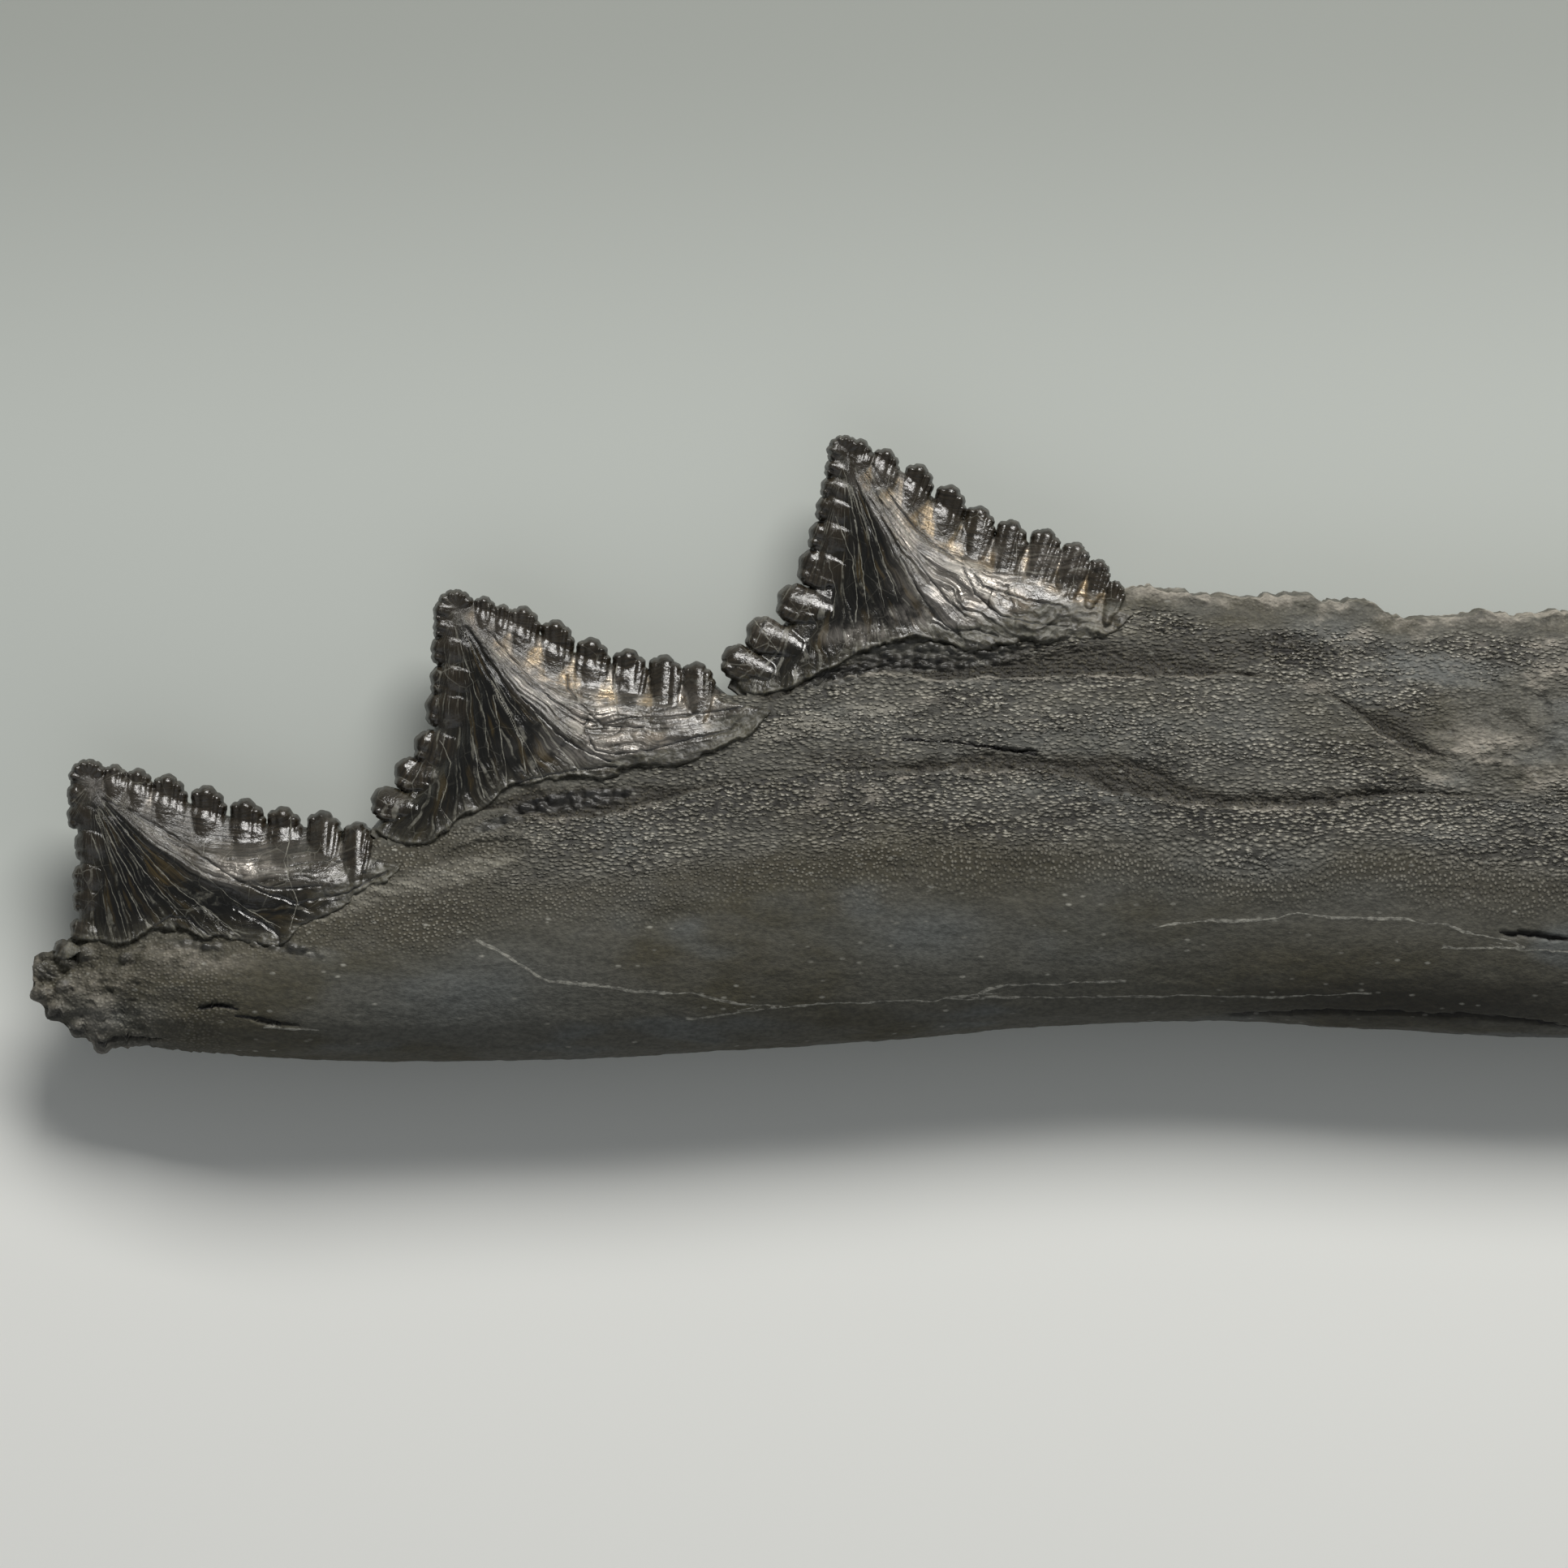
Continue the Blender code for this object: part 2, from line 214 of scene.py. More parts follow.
def bone_half(x, y):
    """Half thickness of the bone, full and rounded at the keel side and thinner towards the crowns."""
    low, high = keel(x), bone_top(x)
    h = np.maximum((y - low) / (high - low), 0)
    under = np.sqrt(np.maximum(0, 1 - (np.clip(FULLEST - h, 0, 1) / FULLEST) ** 2.3))
    over = 1 - 0.48 * (np.clip(h - FULLEST, 0, 2) / (1 - FULLEST)) ** 1.9
    along = 0.88 * np.sqrt(ease(x, 0.0, 40.0)) + 0.12 * ease(x, 40.0, 110.0)
    return np.maximum(NEAR_HALF * along * np.where(h < FULLEST, under, over), 0)


def cracks_near(x, y, cracks):
    """For the nearest of some cracks: which side of it, how far away, and what kind it is."""
    side = np.full(np.shape(x), 9.0)
    away = np.full(np.shape(x), 9.0)
    kind = np.zeros(np.shape(x))
    for crack_kind, route in cracks:
        places = [from_photo(*place) for place in route]
        for (ax, ay), (bx, by) in zip(places, places[1:]):
            dx, dy = bx - ax, by - ay
            length = math.hypot(dx, dy)
            t = np.clip(((x - ax) * dx + (y - ay) * dy) / length ** 2, 0, 1)
            gap = np.hypot(x - ax - t * dx, y - ay - t * dy)
            nearer = gap < away
            side = np.where(nearer, ((x - ax) * dy - (y - ay) * dx) / length, side)
            kind = np.where(nearer, crack_kind, kind)
            away = np.where(nearer, gap, away)
    return np.clip(side, -3, 3), np.clip(away, 0, 3), kind


PALE_VEIN, BLACK_CRACK = 1.0, 0.0
BONE_CRACKS = [
    (PALE_VEIN, ((595, 1155), (640, 1183), (680, 1207), (735, 1210), (790, 1218), (850, 1220), (910, 1235),
                 (960, 1237))),
    (PALE_VEIN, ((850, 1251), (960, 1240), (1035, 1233), (1150, 1231), (1200, 1222), (1240, 1211), (1300, 1209),
                 (1380, 1205))),
    (PALE_VEIN, ((1150, 1231), (1220, 1226), (1300, 1227), (1450, 1224), (1560, 1226), (1680, 1222))),
    (PALE_VEIN, ((1420, 1140), (1480, 1133), (1540, 1132), (1590, 1124), (1650, 1130), (1720, 1131), (1770, 1138),
                 (1830, 1155), (1900, 1170))),
    (PALE_VEIN, ((1770, 1165), (1850, 1166), (1932, 1170), (2010, 1168), (2090, 1176))),
    (PALE_VEIN, ((335, 1264), (365, 1263), (395, 1266))),
    (BLACK_CRACK, ((1840, 1148), (1880, 1150), (1915, 1154), (1980, 1152))),
    (BLACK_CRACK, ((1520, 1246), (1580, 1247), (1640, 1243), (1720, 1248), (1790, 1247), (1860, 1254),
                   (1932, 1264), (2040, 1262))),
    (BLACK_CRACK, ((255, 1240), (275, 1236), (297, 1240))),
    (BLACK_CRACK, ((300, 1250), (325, 1252), (350, 1259))),
    (BLACK_CRACK, ((130, 1277), (165, 1281), (200, 1278))),
    (BLACK_CRACK, ((1113, 911), (1160, 914), (1216, 920), (1270, 929))),
]


# Where each seam gapes: x, half the gap, and how far its middle lies above the seam.
FRONT_GAPE = line_through([(44, 0.0), (60, 0.1), (64, 1.2), (70, 1.7), (78, 1.3), (84, 0.4), (92, 0.1), (108, 0.2),
                           (114, 0.7), (122, 1.0), (130, 1.0), (134, 1.7), (140, 2.1), (145, 1.5), (150, 0.7),
                           (156, 0.9), (164, 0.8), (171, 0.4), (180, 0.1), (222, 0.3)])
FRONT_GAPE_RISE = line_through([(44, 0.0), (64, 1.3), (72, 1.6), (84, 0.8), (100, 0.2), (114, 0.6), (124, 0.7),
                                (134, 0.2), (142, 0.2), (150, 0.2), (222, 0.0)])
REAR_GAPE = line_through([(88, 0.8), (93, 1.1), (98, 0.5), (104, 0.9), (112, 1.3), (120, 1.1), (128, 1.3),
                          (138, 1.5), (146, 1.0), (152, 0.3), (160, 0.1), (167, 0.4), (172, 1.3), (176, 0.3),
                          (190, 0.0), (222, 0.1)])
REAR_GAPE_RISE = line_through([(88, 0.6), (94, 0.4), (104, 1.0), (114, 1.2), (126, 1.8), (140, 2.2), (148, 1.6),
                               (154, 0.4), (172, 0.2), (222, 0.0)])


# Long open cracks: the place of the middle, half the length and half the width in millimetres, and the tilt.
BONE_GASHES = [(1655, 1246, 11.0, 0.30, 0), (1560, 1248, 6.0, 0.20, 1), (1775, 1249, 5.0, 0.24, -3),
               (1878, 1151, 4.4, 0.22, -4), (1865, 1256, 6.0, 0.28, -5), (1250, 925, 3.0, 0.16, -6),
               (2035, 1262, 9.0, 0.30, 2), (165, 1279, 4.0, 0.24, 2), (345, 1257, 3.4, 0.18, -8),
               (272, 1238, 2.6, 0.18, 3)]

# Soft patches on the near flank, each with its column and row in the photograph, half length and half height in
# millimetres, tilt in degrees, and strength.
BLISTERED_STRIPS = [(1160, 806, 12.0, 2.3, 3, 1), (1040, 832, 7.0, 1.2, 14, 1), (710, 985, 9.0, 1.3, 8, 1),
                    (620, 1012, 4.0, 0.8, 20, 1), (340, 1160, 8.0, 0.9, -14, 1), (250, 1162, 4.0, 0.8, 0, 1)]
ENAMEL_STREAKS = [(430, 1112, 9.0, 1.5, 18, 1), (560, 1075, 9.0, 1.6, 14, 1), (1010, 890, 11.0, 1.6, 10, 1),
                  (1330, 765, 9.0, 2.4, -2, 1)]
# Blue-grey stains; the first, the long band low on the front flank, is a painted sheen where that flank reflects
# the light.
BLUE_STAINS_AND_PAINTED_SHEEN = [(570, 1215, 13, 6, 0, 0.9), (1330, 1170, 16, 5, 0, 0.6), (1370, 905, 22, 4, 2, 0.9),
               (1500, 1080, 22, 4, 0, 0.7), (1130, 1150, 14, 4, 0, 0.8), (1250, 930, 9, 1.6, 0, 0.7)]
# The lower keel at the back is painted darker: brown stain and painted shade.
BROWN_KEEL_AND_SHADE = (1620, 1200, 34, 5.5)
BROWN_STAINS_AND_KEEL_SHADE = [(950, 1175, 16, 6, 0, 0.9), (500, 1135, 16, 3.5, 0, 0.9), (1260, 1075, 18, 4.5, 0, 1),
                (*BROWN_KEEL_AND_SHADE, 0, 1)]
# Umber stains in the seam recesses and elsewhere; the last, long one along the lower keel is painted shade.
UMBER_STAINS_AND_KEEL_SHADE = [(1290, 808, 19.0, 2.4, 1, 1), (1720, 892, 4.0, 2.0, -20, 1), (1290, 945, 15.0, 1.8, -5, 1),
                (710, 990, 10.0, 1.7, 8, 1), (1500, 800, 16.0, 2.6, 0, 1), (1050, 935, 8.0, 1.4, -2, 1),
                (1760, 1232, 30.0, 4.0, 0, 1)]
PALE_PATCHES = [(1820, 918, 6.0, 2.2, 0, 0.9), (1612, 848, 1.6, 0.8, 0, 1.0), (1110, 958, 0.9, 0.35, 0, 1.2),
                (1010, 990, 3.0, 2.0, 0, 0.55), (1070, 980, 1.4, 1.5, 0, 0.7), (1890, 793, 2.0, 0.7, 0, 1.6),
                (230, 1180, 9.0, 1.8, 0, 0.5), (1160, 862, 3.5, 1.2, 0, 0.5)]
# Grain rubbed paler, and bands of painted highlight along the tops of the roots, the strongest under the front
# seam at the back.
RUBBED_GRAIN_AND_HIGHLIGHT = [(1660, 1008, 28.0, 3.6, -2, 1.5), (1555, 925, 8.5, 4.0, 0, 1.2), (1170, 860, 19.0, 2.6, 0, 1.35),
                (1240, 985, 22.0, 2.6, -4, 1.1), (950, 985, 10.0, 3.0, 0, 0.8), (1420, 850, 12.0, 1.6, 0, 0.9)]
# The knobs on the nose: column, row and half size.
NOSE_KNOBS = [(58, 1194, 1.5), (84, 1183, 1.1), (106, 1174, 1.25), (52, 1222, 1.3), (72, 1246, 1.5),
              (98, 1268, 1.4), (128, 1282, 1.3), (80, 1212, 1.0), (160, 1178, 0.9)]
LOST_SPLINTER = (600, 1052, 7.5, 2.4, 12)

# Sizes of what stands out of the bone and is worn into it, in millimetres.
GRAIN_LONG, GRAIN_TALL, GRAIN_RISE = 1.10, 0.50, 0.50
DOT_LONG, DOT_TALL, DOT_RISE = 0.62, 0.55, 0.13
BLISTER_LONG, BLISTER_TALL, BLISTER_RISE, BLISTER_BED = 1.35, 1.10, 1.25, 0.40
LUMP_RISE, PIT_DEPTH = 0.50, 0.60
NOSE_LUMP_RISE, NOSE_PIT_DEPTH = 0.35, 0.45
NOSE_STEP = 0.10
KNOB_RISE = 0.75
POCKET_DEPTH, LIP_RISE = 0.42, 0.16
GASH_DEPTH = 0.55
STREAK_RISE = 0.13
CRACK_DEPTH, VEIN_RISE = 0.32, 0.05
SPLINTER_DEPTH, SPLINTER_RIM = 0.25, 0.22
ENAMEL_BED = 0.12
FAR_SEED = 400
FAR_SHIFT = 17


def covered_by_enamel(x, y):
    """1 where the enamel of a crown hides the bone."""
    covered = np.zeros(np.shape(x))
    for foot in ENAMEL_FEET.values():
        begin, end = foot[0][0], foot[-1][0]
        above = ease(y - line_through(foot)(x), 0.6, 1.6)
        covered = np.maximum(covered, above * ((x > begin) & (x < end)))
    return covered


def grain_bands(x, v, below, on_front, on_rear, rock, wander, seed):
    """Where rice-like grains lie along the root, where they fade into fine dots, and where they are worn."""
    rice = np.where(on_front, ease(x + 6 * wander, 54, 68) * ease(below + 2.5 * wander, 10.5, 6.0), 1.0)
    rice = np.where(on_rear, ease(below + 1.5 * wander, 2.0, 4.5), rice)
    rice = np.where(~on_front & ~on_rear & (x < 100), ease(x + 3 * wander, 66, 80), rice)
    rice = rice * (1 - 0.75 * rock)
    dots = np.where(on_front, ease(below + 3 * wander, 16, 9.5) * ease(x + 4 * wander, 10, 30), 0.3) * (1 - rice)
    dots = np.maximum(dots, 0.55 * ease(x + 3 * wander, 34, 24) * (1 - rice))
    worn = ease(rough(x / 8, v / 3.2, seed + 7, 3), -0.35, 0.45)
    near_seam = ease(np.abs(below - 1.5) + 1.2 * wander, 5.0, 1.0)
    rice = rice * (0.45 + 0.55 * np.maximum(worn, near_seam * on_front))
    return rice, dots, worn * rice


def grain_tops(x, v, seed):
    """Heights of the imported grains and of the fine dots, from 0 to 1."""
    lay = 0.35 * rough(x / 5, v / 5, seed + 5)
    sway = 0.6 * rough(x / 2.4, v / 2.4, seed + 9)
    first, second, number = grains(x / GRAIN_LONG + lay, v / GRAIN_TALL + sway, seed + 11)
    rice = np.clip((second - first) * 2.6, 0, 1) ** 0.6 * np.clip(1.25 - first, 0, 1) * (0.5 + 0.5 * number)
    first, second, number = grains(x / DOT_LONG, v / DOT_TALL, seed + 17)
    return rice, np.clip(1.25 - 2.6 * first, 0, 1) * (number > 0.25)


def seam_pockets(x, y, near, seed):
    """Where the seams gape in ragged dark pockets that splinters and rock dropped out of, and their lower lips."""
    ragged = 0.5 * rough(x / 2.2, y / 1.6, seed + 25, 3) + 0.35 * (grains(x / 0.9, y / 0.7, seed + 26)[2] - 0.5)
    shift = 0 if near else FAR_SHIFT
    pocket = np.zeros(np.shape(x))
    lip = np.zeros(np.shape(x))
    for suture, gape, rise, begin in ((smooth_front_suture, FRONT_GAPE, FRONT_GAPE_RISE, 50.0),
                                      (smooth_rear_suture, REAR_GAPE, REAR_GAPE_RISE, 94.0)):
        begun = ease(x, begin - 2, begin + 2)
        half_gap = gape(x - shift)
        above = y - suture(x) - rise(x - shift)
        open_by = half_gap - np.abs(above) + ragged * ease(half_gap, 0, 0.8)
        upper = ease(above, -0.3, 0.5)
        sunk = upper * ease(open_by, -0.9, 1.1) + (1 - upper) * ease(open_by, -0.15, 0.30)
        pocket = np.maximum(pocket, sunk * begun)
        lower = (above < 0) * ease(half_gap, 0.3, 1.0) * begun
        lip = np.maximum(lip, lower * ease(open_by, -0.8, -0.2) * ease(open_by, 0.2, -0.2))
    return pocket, lip


def open_cracks(x, y, v):
    """The long open cracks, each at its level measured round the bone so that it stays thin under the keel."""
    gash = np.zeros(np.shape(x))
    for column, row, wide, tall, turn in BONE_GASHES:
        level = from_photo(column, row)[1]
        bent = level + v - round_height(x, level + x * 0)
        bent = bent + 0.30 * ripple(x / 3.1, y / 9, 45) + 0.14 * ripple(x / 0.9, y / 3, 46)
        gash = np.maximum(gash, spot(x, bent, column, row, wide, 1.5 * tall, turn))
    return ease(gash, 0.30, 0.55)


def bone_stains_and_painted_light(x, y, v, near, seed, made):
    """How brown, blue-grey, umber, pale and rubbed the bone is, some of it painted sheen, shade and highlight;
    made holds what its relief was made from.
    """
    pocket, nose, lumps, pits = made["pocket"], made["nose"], made["lumps"], made["pits"]
    brown = ease(rough(x / 17, v / 7, seed + 47, 3) + 0.25 * made["dots"] + 0.2 * ease(x, 60, 20), 0.05, 0.5)
    blue = ease(rough((x + 30) / 15, v / 6, seed + 53, 3), 0.05, 0.55) * (1 - 0.6 * brown)
    patchy = ease(rough(x / 4.5, v / 3.2, seed + 59, 5), -0.08, 0.10)
    dusty = ease(x, 150, 158) * ease(y, 50.0, 52.5) * ease(rough(x / 3.5, v / 1.6, seed + 60, 4), -0.1, 0.35)
    pale = np.maximum(0.8 * made["crust"] + 0.85 * made["rock"] * patchy + 0.3 * nose, 0.55 * dusty)
    # The lower lips of the seam pockets are painted pale, a painted highlight where the rim catches the light.
    pale = np.maximum(pale * ease(lumps - pits, -0.45, 0.15), 0.6 * made["lip"])
    umber = 1.2 * pocket
    frost_and_highlight = 0.52 + 0.40 * ease(rough(x / 9, v / 3.5, seed + 61, 3), -0.2, 0.6)
    if near:
        # Blue-grey stains and a painted sheen band, held off the lower keel where brown stain and painted shade
        # darken it.
        blue = np.maximum(blue, strongest(x, y, BLUE_STAINS_AND_PAINTED_SHEEN)) * (1 - 0.8 * spot(x, y, *BROWN_KEEL_AND_SHADE))
        # Brown stains, and brown stain with painted shade along the lower keel.
        brown = np.maximum(brown, strongest(x, y, BROWN_STAINS_AND_KEEL_SHADE))
        pale = np.maximum(pale, strongest(x, y, PALE_PATCHES))
        # Umber stains in the recesses, and painted shade along the lower keel.
        umber = np.maximum(umber, strongest(x, y, UMBER_STAINS_AND_KEEL_SHADE))
        umber = umber * ease(umber + 0.3 * rough(x / 3, v / 2, seed + 62, 3), 0.2, 0.55)
        # Grain tops are paler where rubbed and in bands of painted highlight.
        frost_and_highlight = np.maximum(frost_and_highlight, strongest(x, y, RUBBED_GRAIN_AND_HIGHLIGHT)) * (1 - 0.75 * umber)
    return {
        "frost_and_highlight": np.clip(frost_and_highlight, 0, 1.5),
        "umber": np.clip(umber, 0, 1),
        "brown": np.clip(brown + 0.5 * pocket, 0, 1),
        "blue": np.clip(blue, 0, 1) * (1 - pocket),
        "pale": np.clip(pale, 0, 1.6) * (1 - pocket),
    }


def bone_relief(x, y, v, near):
    """What stands out of the bone and is worn into it, in millimetres, and the masks that its colours follow."""
    seed = 0 if near else FAR_SEED
    front_seam, rear_seam = smooth_front_suture(x), smooth_rear_suture(x)
    top = bone_top(x)
    on_front = (y < front_seam) | (x < 47)
    on_rear = (y > rear_seam) & (x > 90)
    below = np.where(on_front, front_seam - y, np.where(on_rear, top - y, rear_seam - y))
    wander = rough(x / 14, v / 9, seed + 1)

    # The nose, the crust along the broken top and the rock left in the back are coarse and pitted.
    nose = ease(x + 4 * wander, 27, 9)
    crust = ease(x, 136, 140) * ease(top - y + 0.9 * wander, 2.4, 0.6)
    rock = ease(x + 4 * wander, 171, 180) * ease(y + 3 * wander, 32.0, 36.0) * ease(y + 4 * wander, 52.5, 47.5)
    under_crown = ease(top - y + 1.5 * wander, 9.0, 4.0) * ease(x, 142, 134)
    coarse = np.clip(nose + crust + 1.2 * rock + 0.25 * ease(x, 40, 20) + 0.45 * under_crown, 0, 1)
    lumps = rough(x / 3.2, v / 2.6, seed + 23, 5)
    pits = np.clip(rough(x / 1.3, v / 1.1, seed + 29, 3) - 0.25, 0, 1)
    rice, dots, worn = grain_bands(x, v, below, on_front, on_rear, rock, wander, seed)
    rice_top, dot_top = grain_tops(x, v, seed)
    pocket, lip = seam_pockets(x, y, near, seed)

    # Under each crown the root is blistered with shiny black knobs, and larger ones sit on the nose.
    blisters, knobs, gash, scar = 0.0, 0.0, 0.0, 0.0
    if near:
        blisters = ease(strongest(x, y, BLISTERED_STRIPS), 0.25, 0.6)
        nose_knobs = [(column, row, size, 0.85 * size, 0, 1) for column, row, size in NOSE_KNOBS]
        knobs = ease(strongest(x, y, nose_knobs), 0.12, 0.75)
        gash = open_cracks(x, y, v)
        scar = spot(x, y, *LOST_SPLINTER)
    middle, _, number = grains(x / BLISTER_LONG, v / BLISTER_TALL, seed + 33)
    blister = blisters * np.clip(1.15 - 1.5 * middle, 0, 1) * (0.4 + 0.6 * number)

    # The enamel leaves combed streaks on the bone behind each crown.
    streaks = ease(strongest(x, y, ENAMEL_STREAKS), 0.2, 0.6)
    combed = v + (0.22 if near else -0.1) * x
    streak_lines = ripple((x + 8) / 7, combed / 0.42, seed + 31) + 0.5 * ripple(x / 4, combed / 0.2, 5)

    # A crack keeps its width where the surface turns under at the keel.
    side, away, kind = cracks_near(x, y, BONE_CRACKS) if near else cracks_near(x + 9, y + 1.5, BONE_CRACKS[:8])
    stretch = (round_height(x, y + 0.05) - round_height(x, y - 0.05)) / 0.1
    side = side * np.clip(stretch, 1, 12)
    side = side + (0.09 * ripple(x / 0.8, v / 0.8, seed + 37) + 0.22 * ripple(x / 2.6, v / 2.6, seed + 38))
    line = ease(np.abs(side), 0.22, 0.02) * ease(away, 0.45, 0.3)

    relief = GRAIN_RISE * rice * (rice_top - 0.5) + DOT_RISE * dots * dot_top
    relief += coarse * (LUMP_RISE * lumps - PIT_DEPTH * pits)
    relief += 0.16 * rough(x / 6, v / 3, seed + 41) * (1 - coarse)
    relief += 0.05 * rough(x / 3.0, v / 0.7, seed + 43) * (1 - rice)
    relief += nose * (NOSE_LUMP_RISE * lumps - NOSE_PIT_DEPTH * pits) - NOSE_STEP * on_front * ease(x, 32.0, 24.0)
    relief += 0.10 * rough(x / 1.5, v / 1.5, seed + 44, 3) * ease(y - keel(x), 7.0, 2.0)
    relief += 0.22 * worn * rough(x / 2.6, v / 0.9, seed + 42, 3)
    relief -= pocket * (POCKET_DEPTH + 0.15 * lumps - 0.12 * dot_top) - LIP_RISE * lip
    relief += STREAK_RISE * streaks * streak_lines - GASH_DEPTH * gash
    relief += BLISTER_RISE * blister - BLISTER_BED * blisters + KNOB_RISE * knobs
    relief += line * np.where(kind == PALE_VEIN, VEIN_RISE, -CRACK_DEPTH)
    raised_rim = ease(scar, 0.25, 0.42) * ease(scar, 0.62, 0.46)
    relief -= SPLINTER_DEPTH * ease(scar, 0.45, 0.65) - SPLINTER_RIM * raised_rim
    covered = covered_by_enamel(x, y)
    relief = relief * (1 - covered) - ENAMEL_BED * covered

    made = {"dots": dots, "crust": crust, "rock": rock, "nose": nose, "pocket": pocket, "lip": lip, "lumps": lumps,
            "pits": pits}
    masks = {
        "grain": rice * rice_top,
        "blister": np.clip(blisters * (0.35 + 0.65 * blister) + 0.5 * knobs, 0, 1),
        "rice": rice * (1 - 0.9 * pocket) * (1 - blisters),
        "dots": np.clip(dots + 0.8 * pocket, 0, 1) * (1 - blisters),
        "round_height": v,
        "pocket": np.clip(np.maximum(0.75 * pocket * (1 - dot_top) + 0.9 * coarse * pits, 1.2 * gash), 0, 1),
        "streak": streaks * np.clip(0.5 + 0.6 * streak_lines, 0, 1),
        "line_side": side,
        "line_away": away,
        "line_kind": kind,
    }
    return relief, {**masks, **bone_stains_and_painted_light(x, y, v, near, seed, made)}


def even_steps(points, count):
    """The same line again with its points evenly spaced."""
    lengths = np.concatenate([[0], np.cumsum(np.hypot(*np.diff(points, axis=0).T))])
    wanted = np.linspace(0, lengths[-1], count)
    return np.stack([np.interp(wanted, lengths, points[:, k]) for k in range(2)], 1)


# How far the open underside and top of a root lie inside its edges.
SEAT = 0.12
FLANK_SAMPLES = 240


def root_section(x, low, top, keel_dip, trough_dip, counts):
    """One cut across a root: near flank down, under side, far flank up, and the trough back to the start."""
    falling = (1 - np.linspace(0, 1, FLANK_SAMPLES)) ** 1.7
    y = low + (top - low) * falling
    half = bone_half(np.full_like(y, x), y)
    near = even_steps(np.stack([y, half], 1), counts[0])
    far = even_steps(np.stack([y[::-1], -half[::-1] * FAR_HALF / NEAR_HALF], 1), counts[2])
    parts = [near]
    if keel_dip is not None:
        under = np.array([near[-1], (low + SEAT - 0.5 * keel_dip, half[-1] * 0.5), (low + SEAT - keel_dip, 0.0),
                          (low + SEAT - 0.5 * keel_dip, far[0][1] * 0.5), far[0]])
        parts.append(even_steps(under, counts[1])[1:-1])
        parts.append(far)
    else:
        parts.append(far[1:])
    over = np.array([far[-1], (top - SEAT - 0.5 * trough_dip, far[-1][1] * 0.5), (top - SEAT - trough_dip, 0.0),
                     (top - SEAT - 0.5 * trough_dip, half[0] * 0.5), near[0]])
    parts.append(even_steps(over, counts[3])[1:-1])
    return np.concatenate(parts)


def add_mesh(name, points, polygons, masks, material):
    """A smooth-shaded piece from its points, its faces grouped by number of corners, and its masks."""
    mesh = bpy.data.meshes.new(name)
    corners = np.concatenate([group.ravel() for group in polygons]).astype(np.int32)
    sizes = np.concatenate([np.full(len(group), group.shape[1]) for group in polygons]).astype(np.int32)
    mesh.vertices.add(len(points))
    mesh.vertices.foreach_set("co", jaw_point(*points.T).astype(np.float32).ravel())
    mesh.loops.add(len(corners))
    mesh.loops.foreach_set("vertex_index", corners)
    mesh.polygons.add(len(sizes))
    mesh.polygons.foreach_set("loop_start", np.concatenate([[0], np.cumsum(sizes)[:-1]]).astype(np.int32))
    mesh.polygons.foreach_set("use_smooth", np.ones(len(sizes), bool))
    mesh.update(calc_edges=True)
    mesh.validate()
    for mask_name, values in masks.items():
        layer = mesh.attributes.new(mask_name, "FLOAT", "POINT")
        layer.data.foreach_set("value", values.astype(np.float32).ravel())
    mesh.materials.append(material)
    piece = bpy.data.objects.new(name, mesh)
    bpy.context.scene.collection.objects.link(piece)
    return piece


def break_surface(y, z, seed):
    """The rough broken back end."""
    plane = BREAK_X + 1.3 * np.sin(0.31 * y + 0.5) * np.cos(0.23 * z)
    return plane - 0.5 + 0.6 * rough(y / 4, z / 4, seed, 5) - 0.15 * np.abs(ripple(y / 0.7, z / 0.9, seed + 9))


# The first sections of a root stand closer together, the closest at a fifth of a full step.
MOST_SECTIONS, CLOSE_SECTIONS, CLOSEST = 1000, 30, 0.2
CLOSING_RINGS = (0.06, 0.14, 0.24, 0.36, 0.5, 0.65, 0.82, 1.0)
END_SEED = 700
FAR_RELIEF = 0.8
NO_LINE_AWAY = 9.0


def seam_grooves(x, y, z, last_near, start, lips):
    """Each flank dips where it meets the next root, so that the seam reads as a groove."""
    sign = np.sign(z)
    for number, (lip, edge) in enumerate(zip(lips, (y[:, :1], y[:, last_near:last_near + 1]))):
        gap = np.clip(np.abs(y - edge) / 1.2, 0, 1)
        deep = 0.35 + 0.65 * ease(ripple(x / 8, x * 0 + number, 71), -0.3, 0.4)
        begun = ease(x, start + 1.0, start + 9.0)
        z = z - sign * lip * deep * begun * (1 - np.sqrt(1 - (1 - gap) ** 2)) * (np.abs(z) > 1)
    return z


def height_round_corners(y, z, near, far_start, far_end, open_below):
    """Under the root and over its top, grain and colour carry on round the corner from the flank."""
    round_y = y.copy()
    if open_below:
        under = z[:, near:far_start]
        beyond = np.where(under > 0, z[:, near - 1:near] - under, under - z[:, far_start:far_start + 1])
        round_y[:, near:far_start] = y[:, near - 1:near] - np.abs(beyond)
    round_y[:, far_end + 1:] = y[:, :1] + (z[:, :1] - z[:, far_end + 1:])
    return round_y


def close_broken_end(surface, far_end, step, seed):
    """Closes the broken end in rings, on a line down the middle of the section."""
    rim = surface[-1]
    lower, upper = rim[:far_end + 1], np.concatenate([rim[far_end:], rim[:1]])
    reach = 0.82 * min(rim[0][2], -rim[far_end][2])
    z_mid = np.clip(rim[:, 2], -reach, reach)
    order_low, order_up = np.argsort(lower[:, 2]), np.argsort(upper[:, 2])
    y_mid = 0.5 * (np.interp(z_mid, lower[order_low, 2], lower[order_low, 1])
                   + np.interp(z_mid, upper[order_up, 2], upper[order_up, 1]))
    surface[-1, :, 0] = break_surface(rim[:, 1], rim[:, 2], seed)
    surface[-2, :, 0] = surface[-1, :, 0] - step
    rings = [surface]
    for t in CLOSING_RINGS:
        y, z = rim[:, 1] + (y_mid - rim[:, 1]) * t, rim[:, 2] + (z_mid - rim[:, 2]) * t
        rings.append(np.stack([break_surface(y, z, seed), y, z], -1)[None])
    return np.concatenate(rings)


